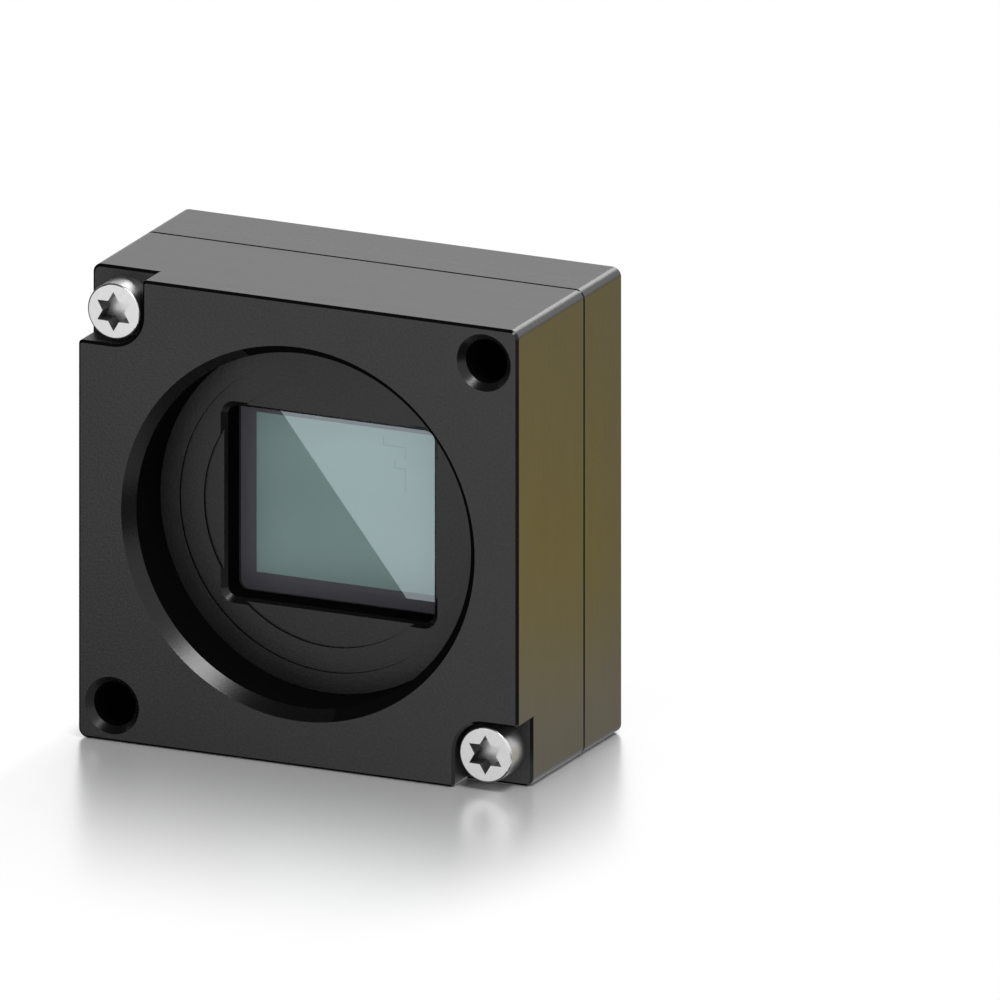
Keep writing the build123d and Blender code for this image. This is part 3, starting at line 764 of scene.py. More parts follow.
class MINICAM_OT_stage(bpy.types.Operator):
    """Lay the floor, set the world, the lights and the cards, and place the camera"""

    bl_idname = "minicam.stage"
    bl_label = "Stage"

    def execute(self, context):
        scene = context.scene
        settings = scene.minicam_stage
        scene.view_settings.view_transform = "Standard"
        self.set_world(scene, settings)
        reach, floor_z = 2.0, -10 * MICRON
        corners = level_corners(-reach, reach, -reach, reach, floor_z)
        stage_plane("floor", corners, floor_finish(settings))
        # Directions and distances from the middle of the housing, and the width of the rim light
        key, key_distance = (0.40, -0.295, 0.868), 0.125
        rim, rim_distance, rim_side = (-0.04, 0.87, 0.50), 0.4, 0.16
        area_light("key_light", key, key_distance, settings.key_side, settings.key_power)
        area_light("rim_light", rim, rim_distance, rim_side, settings.rim_power)
        self.hang_level_cards(settings)
        self.hang_glass_cards(settings)
        self.place_camera(scene, settings)
        return {"FINISHED"}

    def set_world(self, scene, settings):
        """Even light from all round, which the camera and reflections see as white."""
        world = scene.world or bpy.data.worlds.new("Studio")
        scene.world = world
        world.use_nodes = True
        graph = Nodes(world.node_tree)
        graph.tree.nodes.clear()
        path = graph.add("LightPath").outputs
        direct = graph.math("ADD", path["Is Camera Ray"], path["Is Glossy Ray"])
        seen = graph.math("ADD", direct, path["Is Transmission Ray"], clamp=True)
        lit, white = (
            graph.feed(graph.add("Background"), Color=WHITE, Strength=strength)
            for strength in (settings.sky, 1.0)
        )
        graph.put(graph.add("OutputWorld").inputs["Surface"], graph.mix(seen, lit, white))

    def hang_level_cards(self, settings):
        """One dark card overhead, and two dark ones and a warm one on the floor."""
        # Overhead, a dark card for faces that look up to mirror; the upward bevels on the left also
        # get painted shade
        west, east, south, north, height = -0.6, 0.1, -0.5, 0.3, 0.3
        corners = level_corners(west, east, south, north, height)
        hang_card("overhead_card", corners[::-1], one_sided(Graph("overhead_card"), BLACK))

        # Bevels that face right mirror the front card, and bevels that face left the rear card
        low = 0.02 * MM
        for name, west, east, south, north in (
            ("front_card", 14.0, 100.0, -80.0, -1.0),
            ("rear_card", -110.0, -11.5, -5.0, 70.0),
        ):
            corners = level_corners(west * MM, east * MM, south * MM, north * MM, low)
            hang_card(name, corners, one_sided(Graph(name), BLACK))

        # Behind on the right, mirrored by the right side
        places = ((11.2, -3.0), (88.0, 110.0), (75.0, 150.0), (10.8, 9.0))
        corners = [(x * MM, y * MM, low) for x, y in places]
        hang_card("warm_card", corners, warm_finish(settings))

    def hang_glass_cards(self, settings):
        """Cards that the glass mirrors: black left of a slanting edge and pale right of it."""
        ahead, top_rise, bottom_rise = 12.0 * MM, 6.24 * MM, -8.58 * MM
        glass_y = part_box("sensor_cover_glass")[0].y
        # The mirrored line of sight moves this far for each metre ahead of the glass
        shift = Vector((-0.4688, 0.0, -0.3343)) * ahead
        middle = Vector((0.0, glass_y - ahead, HALF_HEIGHT)) + shift
        top = middle + Vector((settings.edge_top, 0.0, top_rise))
        bottom = middle + Vector((settings.edge_bottom, 0.0, bottom_rise))
        far = Vector((20.0 * MM, 0.0, 0.0))
        flag = glass_card_finish("window_flag", BLACK, 0.0)
        hang_card("window_flag", [top, bottom, bottom - far, top - far], flag)
        glow = tuple(settings.glow_colour)
        pale = glass_card_finish("window_glow", glow, settings.glow_strength)
        hang_card("window_glow", [top, top + far, bottom + far, bottom], pale)

    def place_camera(self, scene, settings):
        turn, rise = settings.azimuth, settings.elevation
        level = math.cos(rise)
        back = Vector((math.sin(turn) * level, -math.cos(turn) * level, math.sin(rise)))
        right = Vector((math.cos(turn), math.sin(turn), 0.0))
        up = back.cross(right)
        middle = Vector((0.0, FRONT_Y, HALF_HEIGHT))
        data = bpy.data.cameras.new("Camera")
        data.type = "ORTHO"
        data.ortho_scale = settings.picture_width
        data.clip_start = 0.01
        data.clip_end = 5.0
        camera = bpy.data.objects.new("Camera", data)
        scene.collection.objects.link(camera)
        aim = middle + right * settings.aim_right + up * settings.aim_up
        turned_axes = Matrix((right, up, back)).transposed().to_4x4()
        camera.matrix_world = Matrix.Translation(aim + back * settings.stand_off) @ turned_axes
        scene.camera = camera


# Geometry Nodes


def start_tree(name, **inputs):
    """Geometry Nodes tree with its group input and output, and these named inputs."""
    tree = bpy.data.node_groups.new(name, "GeometryNodeTree")
    for side in ("INPUT", "OUTPUT"):
        tree.interface.new_socket("Geometry", in_out=side, socket_type="NodeSocketGeometry")
    for label, kind in inputs.items():
        tree.interface.new_socket(
            label.replace("_", " "), in_out="INPUT", socket_type="NodeSocket" + kind
        )
    return tree, tree.nodes.new("NodeGroupInput"), tree.nodes.new("NodeGroupOutput")


def link_all(tree, *pairs):
    """Link each pair of an output and an input."""
    for source, target in pairs:
        tree.links.new(source, target)


def end_tree(tree, source, entry, output):
    """Close a tree with Realize Instances and Set Material."""
    real = tree.nodes.new("GeometryNodeRealizeInstances")
    coat = tree.nodes.new("GeometryNodeSetMaterial")
    link_all(
        tree,
        (source, real.inputs["Geometry"]),
        (real.outputs["Geometry"], coat.inputs["Geometry"]),
        (entry.outputs["Material"], coat.inputs["Material"]),
        (coat.outputs["Geometry"], output.inputs[0]),
    )


def row_tree():
    """Grid of copies: a row along one step, repeated along a second step."""
    if "part_rows" in bpy.data.node_groups:
        return bpy.data.node_groups["part_rows"]
    tree, entry, output = start_tree(
        "part_rows",
        Start="Vector",
        Count="Int",
        Step="Vector",
        Rows="Int",
        Row_step="Vector",
        Material="Material",
    )
    line, rows = (tree.nodes.new("GeometryNodeMeshLine") for _ in range(2))
    line.mode = rows.mode = "OFFSET"
    first, second = (tree.nodes.new("GeometryNodeInstanceOnPoints") for _ in range(2))
    link_all(
        tree,
        (entry.outputs["Start"], rows.inputs["Start Location"]),
        (entry.outputs["Rows"], rows.inputs["Count"]),
        (entry.outputs["Row step"], rows.inputs["Offset"]),
        (entry.outputs["Count"], line.inputs["Count"]),
        (entry.outputs["Step"], line.inputs["Offset"]),
        (line.outputs["Mesh"], first.inputs["Points"]),
        (entry.outputs["Geometry"], first.inputs["Instance"]),
        (rows.outputs["Mesh"], second.inputs["Points"]),
        (first.outputs["Instances"], second.inputs["Instance"]),
    )
    end_tree(tree, second.outputs["Instances"], entry, output)
    return tree


def rows_of(piece, start, number, step, rows, row_step, material=None):
    """Repeat a piece along a row, and the row along a second step."""
    values = {"Start": start, "Count": number, "Step": step, "Rows": rows, "Row_step": row_step}
    if material is not None:
        values["Material"] = material
    grow_tree(piece, row_tree(), **values)


def thread_grooves(radius, start, depth, pitch, first, second):
    """Cutter for the threads of two equal holes: V-shaped grooves at two places (x, z)."""
    overlap, groove_depth, half_groove = 0.04 * MM, 0.3 * pitch, 0.45 * pitch
    groove = [
        (start, radius - overlap),
        (start + half_groove, radius + groove_depth),
        (start + 2 * half_groove, radius - overlap),
    ]
    cutter = turned("thread_grooves", groove, *first, steps=HOLE_STEPS, hollow=True)
    turns = int((depth - start) / pitch)
    across = (second[0] - first[0], 0.0, second[1] - first[1])
    rows_of(cutter, (0.0, 0.0, 0.0), turns, (0.0, pitch, 0.0), 2, across)
    return cutter


def pair_tree():
    """Two copies, each at its own place."""
    places = {"First_place": "Vector", "Second_place": "Vector"}
    tree, entry, output = start_tree("part_pair", **places, Material="Material")
    join = tree.nodes.new("GeometryNodeJoinGeometry")
    place = tree.nodes.new("GeometryNodeInstanceOnPoints")
    for label in ("First place", "Second place"):
        point = tree.nodes.new("GeometryNodePoints")
        link_all(
            tree,
            (entry.outputs[label], point.inputs["Position"]),
            (point.outputs[0], join.inputs[0]),
        )
    link_all(
        tree,
        (join.outputs[0], place.inputs["Points"]),
        (entry.outputs["Geometry"], place.inputs["Instance"]),
    )
    end_tree(tree, place.outputs["Instances"], entry, output)
    return tree


def grow_tree(piece, tree, **values):
    """Run a Geometry Nodes tree on a piece and keep the plain mesh."""
    modifier = piece.modifiers.new(tree.name, "NODES")
    modifier.node_group = tree
    inputs = [item for item in tree.interface.items_tree if item.in_out == "INPUT"]
    identifiers = {item.name: item.identifier for item in inputs}
    for key, value in values.items():
        modifier[identifiers[key.replace("_", " ")]] = value
    settle(piece)


def hole_place(sizes):
    """Place of the upper right corner hole, from the middle."""
    return HALF_WIDTH - sizes.corner_inset, HALF_HEIGHT - sizes.corner_inset


def hole_cutter(name, x, z, radius, mouth, depth):
    """Cutter for a countersunk blind hole with a drill tip, from the front."""
    tip_length = (radius - DRILL_TIP) / math.tan(DRILL_ANGLE)
    profile = [
        (-OVERCUT, mouth + OVERCUT),
        (mouth - radius, radius),
        (depth, radius),
        (depth + tip_length, DRILL_TIP),
    ]
    return turned(name, profile, x, z)


def is_outer_side(face):
    """True for a face of the long outer sides and their rounded edges."""
    x, z = abs(face.center.x), abs(face.center.z - HALF_HEIGHT)
    on_side = x > HALF_WIDTH - SIDE_REACH or z > HALF_HEIGHT - SIDE_REACH
    on_edge = x > HALF_WIDTH - EDGE_REACH and z > HALF_HEIGHT - EDGE_REACH
    return abs(face.normal.y) < UPRIGHT and (on_side or on_edge)


def is_in_hole(face):
    """True for a face of a corner hole."""
    x = abs(face.center.x) - HALF_WIDTH + HOLE_INSET
    z = abs(face.center.z - HALF_HEIGHT) - HALF_HEIGHT + HOLE_INSET
    return math.hypot(x, z) < HOLE_REACH


def bevel_kind(face, across, bore_radius, paint_bevel_shade):
    """Finish of a sloping face: where asked, outer bevels that don't face right, lead-in faces that
    face left or down, and faces deep in a corner hole get the blackened finish as painted shade;
    the rest are turned.
    """
    x, z = face.normal.x, face.normal.z
    if is_in_hole(face):
        dark = face.center.y > HOLE_SHADE_Y
    elif across > bore_radius + OVERCUT:
        faces_right = x > 0.3
        dark = paint_bevel_shade and not faces_right
    else:
        faces_left, faces_down = x < -0.15, z < -0.3 and x < 0.25
        dark = across > bore_radius - OVERCUT and (faces_left or faces_down)
    return BLACKENED_AND_PAINTED_SHADE if dark else TURNED


def sort_faces(piece, bore_radius, paint_bevel_shade):
    """Give each face of a shell the number of its finish."""
    for face in piece.data.polygons:
        slant = abs(face.normal.y)
        across = math.hypot(face.center.x, face.center.z - HALF_HEIGHT)
        if is_outer_side(face):
            kind = BRUSHED
        elif UPRIGHT < slant < LEVEL:
            kind = bevel_kind(face, across, bore_radius, paint_bevel_shade)
        # Walls of the bore, the window and the corner holes get the matt blackened finish, partly
        # the real black of these walls and partly painted shade
        elif slant < UPRIGHT and (across < bore_radius or is_in_hole(face)):
            kind = BLACKENED_AND_PAINTED_SHADE
        else:
            kind = RECESSED if across < bore_radius else BLASTED
        face.material_index = kind


def anodised_finishes(colours):
    """Finishes of the same black anodised aluminium, in the order of their numbers."""
    names = bpy.data.materials
    if "anodised_blasted" not in names:
        black, dark = colours.anodise, tinted(colours.anodise, 0.4)
        blasted, turned_cell = even(0.12), even(0.09)
        finish("anodised_blasted", black, 0.40, blasted, 20 * MICRON, variation=0.35)
        finish("anodised_recessed", black, 0.40, blasted, 9 * MICRON, variation=0.3)
        brushed = (2.6 * MM, 0.045 * MM, 2.6 * MM)
        uneven = {"variation": 0.45, "wear": 0.03}
        finish("anodised_brushed", black, 0.28, brushed, 5 * MICRON, ior=1.64, **uneven)
        finish("anodised_turned", dark, 0.25, turned_cell, 2 * MICRON, variation=0.1, shine=0.34)
        # Matt black of the inner walls, also used as painted shade
        finish("anodised_blackened_and_painted_shade", colours.inside, 0.5, turned_cell, 4 * MICRON, shine=0.0)
    kinds = ("blasted", "brushed", "turned", "blackened_and_painted_shade", "recessed")
    return [names["anodised_" + kind] for kind in kinds]


def hand_over_shell(piece, context, bore_radius, paint_bevel_shade, node):
    """Clean and finish a shell and let it stand for its CAD node."""
    clean(piece)
    sort_faces(piece, bore_radius, paint_bevel_shade)
    finishes = anodised_finishes(context.scene.minicam_colours)
    hand_over(piece, finishes, "anodised_black", node)


class MINICAM_OT_front_shell(bpy.types.Operator):
    """Machine the front shell: pockets, stepped lens recess, sensor window and corner holes"""

    bl_idname = "minicam.front_shell"
    bl_label = "Front shell"

    def execute(self, context):
        sizes = context.scene.minicam_housing
        chamfer, pocket = sizes.edge_chamfer, sizes.pocket_depth
        corner = (HALF_WIDTH, HALF_HEIGHT, sizes.edge_radius)
        shell = block(
            "front_shell", corner, pocket, sizes.front_depth, chamfer, sizes.seam_chamfer
        )
        outline = face_outline(sizes)
        rings = [
            (0.0, face_outline(sizes, -chamfer)),
            (chamfer, outline),
            (pocket + chamfer, outline),
        ]
        combine(shell, [stack("face_slice", rings), self.lip(sizes)], "UNION")
        cutters = [self.recess(sizes), self.window(sizes), self.inside(sizes)]
        combine(shell, cutters, "DIFFERENCE")
        combine(shell, self.bosses(sizes), "UNION")
        combine(shell, self.holes(sizes), "DIFFERENCE")
        bore = sizes.recess_radius + OVERCUT / 2
        hand_over_shell(shell, context, bore, True, "front_housing")
        return {"FINISHED"}

    def web_rear(self, sizes):
        return sizes.ledge_depth + 2 * sizes.step + sizes.web

    def lip(self, sizes):
        outline = plus_outline(sizes, sizes.lip_width)
        start, end = sizes.front_depth - OVERCUT, sizes.front_depth + sizes.lip_height
        return stack("lip", [(start, outline), (end, outline)])

    def recess(self, sizes):
        slope = sizes.lead_in / sizes.lead_in_depth
        ledge, step = sizes.ledge_depth, sizes.step
        profile = [
            (-OVERCUT, sizes.recess_radius + sizes.lead_in + slope * OVERCUT),
            (sizes.lead_in_depth, sizes.recess_radius),
            (ledge, sizes.recess_radius),
            (ledge, sizes.outer_step_radius),
            (ledge + step, sizes.outer_step_radius),
            (ledge + step, sizes.inner_step_radius),
            (ledge + 2 * step, sizes.inner_step_radius),
        ]
        return turned("recess", profile)

    def window(self, sizes):
        half = (sizes.window_width / 2, sizes.window_height / 2, sizes.window_radius)
        narrow = sizes.ledge_depth + 2 * sizes.step + sizes.window_chamfer
        wide = sizes.ledge_depth - OVERCUT / 2
        rings = [
            (wide, rounded_rectangle(*half, narrow - wide)),
            (narrow, rounded_rectangle(*half)),
            (self.web_rear(sizes) + OVERCUT, rounded_rectangle(*half)),
        ]
        return stack("window", rings)

    def inside(self, sizes):
        outline = plus_outline(sizes)
        end = sizes.front_depth + 5 * OVERCUT
        return stack("inside", [(self.web_rear(sizes), outline), (end, outline)])

    def bosses(self, sizes):
        start = self.web_rear(sizes) - OVERCUT
        profile = [(start, BOSS_RADIUS), (FRONT_BOSS_END, BOSS_RADIUS)]
        places = [(-BOSS_X, BOSS_Z), (BOSS_X, -BOSS_Z)]
        return [turned("boss", profile, x, z, BOSS_STEPS) for x, z in places]

    def holes(self, sizes):
        hole_x, hole_z = hole_place(sizes)
        radius, mouth, depth = sizes.thread_radius, sizes.countersink, sizes.thread_depth
        start, end = sizes.pocket_depth - OVERCUT, sizes.front_depth + OVERCUT
        shank = [(start, sizes.shank_radius), (end, sizes.shank_radius)]
        boss = [(FRONT_BOSS_HOLE, BOSS_HOLE_RADIUS), (FRONT_BOSS_END + OVERCUT, BOSS_HOLE_RADIUS)]
        cutters = []
        for side in (1, -1):
            x, z = side * hole_x, side * hole_z
            cutters += [
                hole_cutter("tapped_hole", x, z, radius, mouth, depth),
                turned("shank_hole", shank, -x, z, HOLE_STEPS),
                turned("boss_hole", boss, -side * BOSS_X, side * BOSS_Z, SMALL_STEPS),
            ]
        places = (hole_x, hole_z), (-hole_x, -hole_z)
        start = mouth - radius + sizes.pitch / 4
        cutters.append(thread_grooves(radius, start, depth, sizes.pitch, *places))
        return cutters


class MINICAM_OT_rear_shell(bpy.types.Operator):
    """Machine the rear shell: a shallow tray with the openings for the sockets"""

    bl_idname = "minicam.rear_shell"
    bl_label = "Rear shell"

    def execute(self, context):
        sizes, sockets = context.scene.minicam_housing, context.scene.minicam_sockets
        depth = REAR_Y - FRONT_Y
        start = sizes.front_depth
        corner = (HALF_WIDTH, HALF_HEIGHT, sizes.edge_radius)
        shell = block("rear_shell", corner, start, depth, sizes.seam_chamfer, sizes.edge_chamfer)
        wall = depth - sizes.rear_wall
        inner = plus_outline(sizes)
        groove = plus_outline(sizes, sizes.lip_width + sizes.lip_clearance)
        seat_end = start + sizes.lip_height + sizes.lip_clearance
        inside = stack("inside", [(start - OVERCUT, inner), (wall, inner)])
        seat = stack("seat", [(start - OVERCUT, groove), (seat_end, groove)])
        combine(shell, [inside, seat], "DIFFERENCE")
        boss = [(REAR_BOSS_START, BOSS_RADIUS), (wall + OVERCUT, BOSS_RADIUS)]
        places = [(BOSS_X, BOSS_Z), (-BOSS_X, -BOSS_Z)]
        combine(shell, [turned("boss", boss, x, z, BOSS_STEPS) for x, z in places], "UNION")
        combine(shell, self.openings(sizes, sockets, depth), "DIFFERENCE")
        hand_over_shell(shell, context, sizes.post_gap, False, "rear_housing")
        return {"FINISHED"}

    def flared(self, name, sizes, sockets, depth, outline_at):
        """Cutter through the rear wall: outline_at gives its outline by growth."""
        bevel = sockets.opening_chamfer
        rings = [
            (depth - sizes.rear_wall - OVERCUT, outline_at(0.0)),
            (depth - bevel, outline_at(0.0)),
            (depth + OVERCUT, outline_at(bevel + OVERCUT)),
        ]
        return stack(name, rings)

    def openings(self, sizes, sockets, depth):
        half_usb = (sockets.usb_width / 2, sockets.usb_height / 2, sockets.usb_height / 2)
        io_corner = 0.12 * MM
        half_io = (sockets.io_width / 2, sockets.io_height / 2, io_corner)

        def usb(grow):
            return [(x, z + sockets.usb_rise) for x, z in rounded_rectangle(*half_usb, grow)]

        def signal(grow):
            return [(x, z + sockets.io_rise) for x, z in rounded_rectangle(*half_io, grow)]

        def light(grow):
            points = circle(sockets.light_radius + grow, BOSS_STEPS)
            return [(x + sockets.light_offset, z + sockets.io_rise) for x, z in points]

        outlines = {"usb": usb, "signal": signal, "light": light}
        cutters = [self.flared(name, sizes, sockets, depth, at) for name, at in outlines.items()]
        hole_x, hole_z = hole_place(sizes)
        start = sizes.front_depth
        tap = [(start - OVERCUT, TAP_RADIUS), (start + TAP_DEPTH, TAP_RADIUS)]
        boss = [(REAR_BOSS_START - OVERCUT, BOSS_HOLE_RADIUS), (REAR_BOSS_HOLE, BOSS_HOLE_RADIUS)]
        radius, mouth = sockets.lock_radius, sockets.lock_mouth
        first, last = depth - sockets.lock_depth, depth - mouth + radius
        tip_length = 0.45 * MM
        lock = [
            (first - tip_length, DRILL_TIP),
            (first, radius),
            (last, radius),
            (depth + OVERCUT, mouth + OVERCUT),
        ]
        for side in (1, -1):
            lock_x = side * sockets.lock_offset
            cutters += [
                turned("screw_hole", tap, -side * hole_x, side * hole_z, HOLE_STEPS),
                turned("boss_hole", boss, side * BOSS_X, side * BOSS_Z, SMALL_STEPS),
                turned("lock_hole", lock, lock_x, sockets.usb_rise, HOLE_STEPS),
            ]
        places = [(side * sockets.lock_offset, sockets.usb_rise) for side in (1, -1)]
        cutters.append(thread_grooves(radius, first, last, sockets.lock_pitch, *places))
        return cutters


def star_outline(outer, inner):
    """Six-pointed star with one point straight up."""
    points = []
    for turn in range(12):
        reach = inner if turn % 2 else outer
        turned_by = math.pi / 2 + math.pi * turn / 6
        points.append((reach * math.cos(turned_by), reach * math.sin(turned_by)))
    return points


class MINICAM_OT_star_screws(bpy.types.Operator):
    """Turn one housing screw, sink its star and place it in both pockets"""

    bl_idname = "minicam.star_screws"
    bl_label = "Star screws"

    def execute(self, context):
        housing, sizes = context.scene.minicam_housing, context.scene.minicam_screws
        top = housing.pocket_depth - sizes.head_height
        screws = turned("star_screws", self.profile(housing, sizes, top), steps=SCREW_STEPS)
        star = star_outline(sizes.star_outer, sizes.star_inner)
        star_end = top + sizes.star_depth
        cutter = stack("star", [(top - OVERCUT, star), (star_end, star)])
        start = star_end - OVERCUT / 4
        dish_end = start + sizes.star_inner / math.tan(sizes.tip_angle)
        dish_tip = 0.01 * MM
        dish = [(start, sizes.star_inner), (star_end, sizes.star_inner), (dish_end, dish_tip)]
        combine(screws, [cutter, turned("dish", dish, steps=SMALL_STEPS)], "DIFFERENCE")
        clean(screws)
        finishes = self.finishes(context.scene.minicam_colours)
        x, z = hole_place(housing)
        places = {"First_place": (-x, 0.0, z), "Second_place": (x, 0.0, -z)}
        grow_tree(screws, pair_tree(), **places, Material=finishes[STEEL])
        nodes = ["housing_screw_top_left", "housing_screw_bottom_right"]
        hand_over(screws, finishes, "screw_steel", *nodes)
        self.sort_faces(screws, x, z, sizes.star_outer, FRONT_Y + star_end + MICRON)
        return {"FINISHED"}

    def profile(self, housing, sizes, top):
        """Half outline of a screw: rounded head, shank and bevelled end."""
        bevel, end = sizes.bevel, housing.pocket_depth + sizes.reach
        profile = []
        steps = 6
        for step in range(steps + 1):
            turn = math.radians(90 - 90 / steps * step)
            radius = sizes.head_radius - bevel * (1 - math.cos(turn))
            profile.append((top + bevel * (1 - math.sin(turn)), radius))
        return profile + [
            (housing.pocket_depth, sizes.head_radius),
            (housing.pocket_depth, sizes.shank),
            (end - bevel, sizes.shank),
            (end, sizes.shank - bevel),
        ]

    def finishes(self, colours):
        """Finishes in the order of their numbers."""
        steel, side = colours.steel, tinted(colours.steel, 0.62)
        ring = (1.0 * MM, 0.06 * MM, 1.0 * MM)
        return [
            finish("screw_steel", steel, 0.3, even(0.25), 0.4 * MICRON, 1.0, 1.5, 0.03, 0.05),
            # Painted shade on the star's walls and on bevels turned from the light
            finish("screw_painted_shade", colours.star, 0.45, even(0.1), 2 * MICRON),
            # Turned sides with a ring grain, in steel darkened as painted shade
            finish("screw_steel_shaded_side", side, 0.36, ring, 0.6 * MICRON, 1.0),
        ]

    def sort_faces(self, screws, hole_x, hole_z, reach, floor_y):
        """Painted shade: dark walls in the star and dark bevels to the left and below; greyer
        sides, in a turned finish whose darker steel is painted shade.
        """
        for face in screws.data.polygons:
            x, z = abs(face.center.x) - hole_x, abs(face.center.z - HALF_HEIGHT) - hole_z
            slant = abs(face.normal.y)
            in_star = math.hypot(x, z) < reach and face.center.y < floor_y
            turned_away = face.normal.x < -0.1 or face.normal.z < -0.2
            if in_star:
                dark = slant < UPRIGHT
            else:
                dark = UPRIGHT < slant < LEVEL and turned_away
            face.material_index = STAR_AND_BEVEL_SHADE if dark else SHADED_SIDE if slant < UPRIGHT else STEEL


def paint(node, material):
    """Give a CAD node its finish."""
    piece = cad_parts[node]
    if not piece.material_slots:
        raise RuntimeError(f"{node} has no material slot")
    for slot in piece.material_slots:
        slot.material = material


class MINICAM_OT_sensor(bpy.types.Operator):
    """Fit the cover glass and finish the sensor, its package and its gasket"""

    bl_idname = "minicam.sensor"
    bl_label = "Sensor"

    def execute(self, context):
        colours = context.scene.minicam_colours
        low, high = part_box("sensor_cover_glass")
        bevel, corner = 0.06 * MM, 0.1 * MM
        half = (high.x, (high.z - low.z) / 2, corner)
        glass = block("cover_glass", half, low.y - FRONT_Y, high.y - FRONT_Y, bevel, bevel)
        check_closed(glass)
        # The front mirrors more than plain glass does, and the coated faces don't mirror
        outer = clear_finish("cover_glass_front", 2.5)
        inner = clear_finish("cover_glass_coated", 1.0)
        for face in glass.data.polygons:
            face.material_index = 0 if face.normal.y < -0.9 else 1
        hand_over(glass, [outer, inner], "cover_glass", "sensor_cover_glass")
        glass.visible_shadow = False
        glass.visible_diffuse = False
        rubber = finish("gasket_rubber", colours.rubber, 0.7, even(0.1), 4 * MICRON)
        ceramic_colour = (0.05, 0.045, 0.05, 1.0)
        ceramic = finish("package_ceramic", ceramic_colour, 0.5, even(0.08), 2 * MICRON)
        paint("sensor_die", sensor_finish(colours))
        paint("window_gasket", rubber)
        paint("sensor_package", ceramic)
        return {"FINISHED"}


class MINICAM_OT_small_rows(bpy.types.Operator):
    """Set out the contacts, the pins and the capacitors in rows"""

    bl_idname = "minicam.small_rows"
    bl_label = "Contacts, pins and capacitors"

    def execute(self, context):
        sizes, colours = context.scene.minicam_rows, context.scene.minicam_colours
        gold = finish("contact_gold", colours.gold, 0.22, even(0.06), 0.4 * MICRON, 1.0)
        self.contacts(sizes, gold)
        self.pins(sizes, gold)
        self.capacitors(sizes)
        return {"FINISHED"}

    def bars(self, bar, rise, number, pitch, gold, node, rows=1, apart=0.0):
        """Repeat a plated bar along rows across the middle, and let it stand for a CAD node."""
        first = -(number - 1) / 2 * pitch
        step, row_step = (pitch, 0.0, 0.0), (0.0, 0.0, apart)
        rows_of(bar, (first, 0.0, rise), number, step, rows, row_step, gold)
        clean(bar)
        hand_over(bar, [gold], "contact_gold", node)

    def contacts(self, sizes, gold):
        low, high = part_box("usb_socket_contacts")
        front, rear = low.y - FRONT_Y, high.y - FRONT_Y
        bevel, thickness = sizes.contact_bevel, sizes.contact_thickness
        half = (sizes.contact_width / 2, thickness / 2, bevel / 2)
        rings = [
            (front, rounded_rectangle(*half)),
            (rear - 4 * bevel, rounded_rectangle(*half)),
            (rear, rounded_rectangle(half[0] - bevel, half[1] / 2, half[2] / 2)),
        ]
        bar = stack("usb_contacts", rings)
        rise = low.z + thickness / 2 - HALF_HEIGHT
        row = (rise, sizes.contacts, sizes.contact_pitch, gold, "usb_socket_contacts")
        self.bars(bar, *row, 2, high.z - low.z - thickness)

    def pins(self, sizes, gold):
        low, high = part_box("io_socket_pins")
        front, rear = low.y - FRONT_Y, high.y - FRONT_Y
        half, corner, narrowed = sizes.pin_size / 2, 0.02 * MM, 0.7
        square = rounded_rectangle(half, half, corner)
        rings = [
            (front, square),
            (rear - sizes.pin_point, square),
            (rear, rounded_rectangle(narrowed * half, narrowed * half, corner)),
        ]
        bar = stack("io_pins", rings)
        rise = (low.z + high.z) / 2 - HALF_HEIGHT
        self.bars(bar, rise, sizes.pins, sizes.pin_pitch, gold, "io_socket_pins")

    def capacitors(self, sizes):
        low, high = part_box("board_capacitors")
        front, rear = low.y - FRONT_Y, high.y - FRONT_Y
        half_length, half_width = sizes.capacitor_length / 2, sizes.capacitor_width / 2
        inset, round_end = 0.03 * MM, 0.06 * MM
        body = rounded_rectangle(half_length - inset, half_width - inset, inset)
        chips = stack("capacitors", [(front + inset, body), (rear - inset, body)])
        cap = rounded_rectangle(sizes.cap_length / 2, half_width, round_end)
        ends = []
        for side in (1, -1):
            middle = side * (half_length - sizes.cap_length / 2)
            outline = [(x + middle, z) for x, z in cap]
            ends.append(stack("end_cap", [(front, outline), (rear, outline)]))
        combine(chips, ends, "UNION")
        across, number, pitch = sizes.capacitor_offset, sizes.capacitor_rows, sizes.capacitor_pitch
        start = (-across, 0.0, -(number - 1) / 2 * pitch)
        rows_of(chips, start, 2, (2 * across, 0.0, 0.0), number, (0.0, 0.0, pitch))
        clean(chips)
        for face in chips.data.polygons:
            from_middle = abs(abs(face.center.x) - across)
            on_cap = from_middle > half_length - sizes.cap_length - MICRON
            face.material_index = 1 if on_cap else 0
        ceramic_colour, tin_colour = (0.32, 0.22, 0.13, 1.0), (0.7, 0.7, 0.69, 1.0)
        ceramic = finish("capacitor_ceramic", ceramic_colour, 0.45, even(0.06), MICRON)
        tin = finish("tinned_end", tin_colour, 0.35, even(0.06), MICRON, 1.0)
        hand_over(chips, [ceramic, tin], "capacitor_ceramic", "board_capacitors")


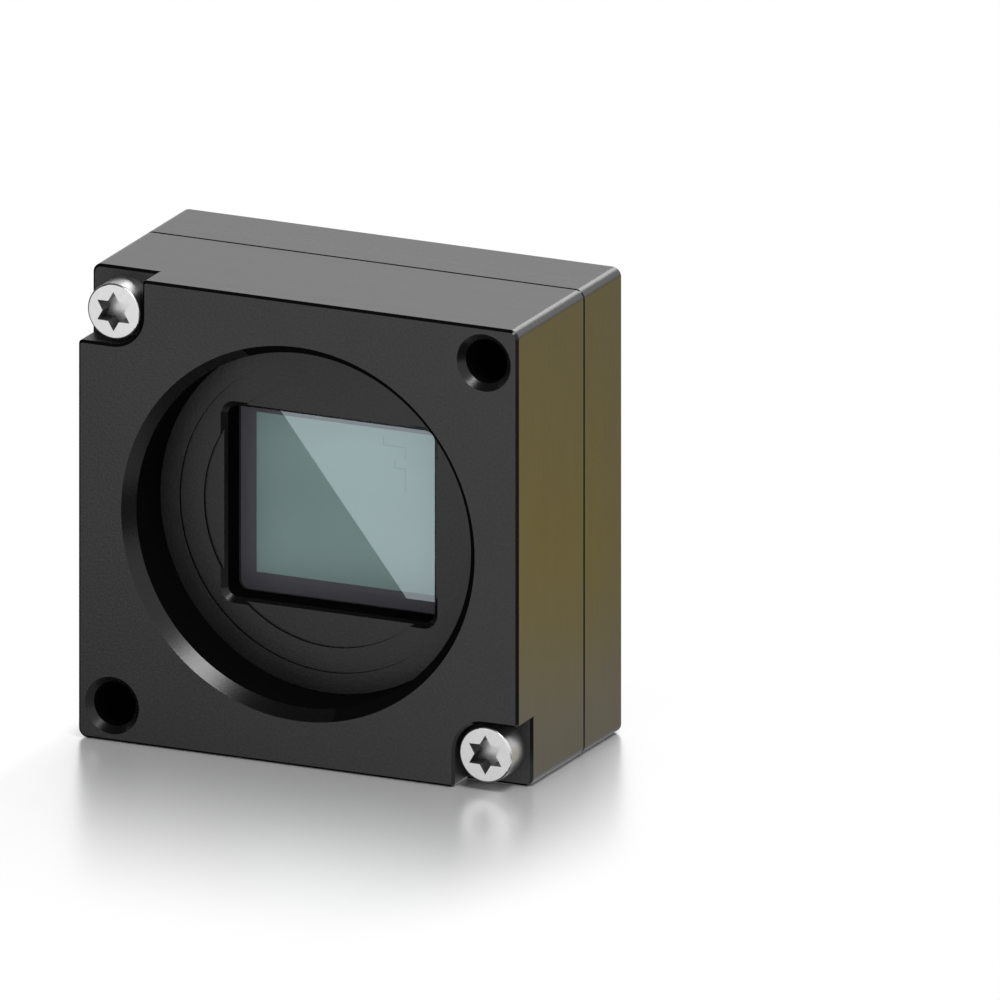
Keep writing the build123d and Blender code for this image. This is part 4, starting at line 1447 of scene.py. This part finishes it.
class MINICAM_OT_board_parts(bpy.types.Operator):
    """Finish the boards, chips and sockets"""

    bl_idname = "minicam.board_parts"
    bl_label = "Boards and sockets"

    def execute(self, context):
        colours = context.scene.minicam_colours
        fine, long_cell = even(0.06), (0.04 * MM, 1.5 * MM, 0.04 * MM)
        boards = ["sensor_board", "interface_board"]
        screws = [f"{board}_screw_{side}" for board in boards for side in ("left", "right")]
        chips = ["image_processor", "memory_chip", "usb_controller"]
        connectors = ["board_connector_socket", "board_connector_plug"]
        connectors += ["usb_socket_tongue", "io_socket_housing"]
        inductors = ["power_inductor_1", "power_inductor_2"]
        # Finish, colour, roughness, cell, bump depth in micrometres, metallic, and its CAD nodes
        for name, base, roughness, cell, depth, metallic, nodes in (
            ("board_laminate", colours.board, 0.35, even(0.3), 2, 0.0, boards),
            ("chip_resin", colours.resin, 0.45, fine, 3, 0.0, chips),
            ("connector_resin", (0.03, 0.03, 0.032), 0.4, fine, 2, 0.0, connectors),
            ("socket_steel", (0.62, 0.62, 0.63), 0.28, long_cell, 0.5, 1.0, ["usb_socket_shell"]),
            ("board_screw_steel", (0.5, 0.5, 0.51), 0.3, fine, 0.5, 1.0, screws),
            ("nickel_can", (0.55, 0.52, 0.47), 0.3, fine, 0.5, 1.0, ["clock_oscillator"]),
            ("ferrite", (0.035, 0.035, 0.037), 0.6, fine, 4, 0.0, inductors),
            ("thermal_silicone", (0.16, 0.2, 0.3), 0.65, fine, 4, 0.0, ["thermal_pad"]),
            ("led_resin", (0.75, 0.72, 0.5), 0.3, fine, 1, 0.0, ["status_led"]),
        ):
            material = finish(name, base, roughness, cell, depth * MICRON, metallic)
            for node in nodes:
                paint(node, material)
        paint("light_pipe", clear_finish("clear_acrylic", 1.49, 0.1, (0.95, 0.97, 0.96, 1.0)))
        return {"FINISHED"}


PIECE_OPERATORS = [
    MINICAM_OT_stage,
    MINICAM_OT_front_shell,
    MINICAM_OT_rear_shell,
    MINICAM_OT_star_screws,
    MINICAM_OT_sensor,
    MINICAM_OT_small_rows,
    MINICAM_OT_board_parts,
]


class MINICAM_PT_pieces(bpy.types.Panel):
    """Lists the pieces of the miniature camera and the stage"""

    bl_label = "Miniature camera"
    bl_idname = "MINICAM_PT_pieces"
    bl_space_type = "VIEW_3D"
    bl_region_type = "UI"
    bl_category = "Miniature camera"

    def draw(self, context):
        for operator in PIECE_OPERATORS:
            self.layout.operator(operator.bl_idname)


SETTINGS = {
    "minicam_housing": HousingSizes,
    "minicam_sockets": SocketSizes,
    "minicam_screws": ScrewSizes,
    "minicam_rows": RowSizes,
    "minicam_stage": StageSettings,
    "minicam_colours": FinishColours,
}


def register():
    for group in SETTINGS.values():
        bpy.utils.register_class(group)
    for operator in PIECE_OPERATORS:
        bpy.utils.register_class(operator)
    bpy.utils.register_class(MINICAM_PT_pieces)
    for name, group in SETTINGS.items():
        setattr(bpy.types.Scene, name, bpy.props.PointerProperty(type=group))


def unregister():
    for name in SETTINGS:
        delattr(bpy.types.Scene, name)
    bpy.utils.unregister_class(MINICAM_PT_pieces)
    for operator in reversed(PIECE_OPERATORS):
        bpy.utils.unregister_class(operator)
    for group in reversed(list(SETTINGS.values())):
        bpy.utils.unregister_class(group)


def main():
    register()
    bpy.ops.minicam.stage()
    bpy.ops.minicam.front_shell()
    bpy.ops.minicam.rear_shell()
    bpy.ops.minicam.star_screws()
    bpy.ops.minicam.sensor()
    bpy.ops.minicam.small_rows()
    bpy.ops.minicam.board_parts()


if __name__ == "__main__":
    main()
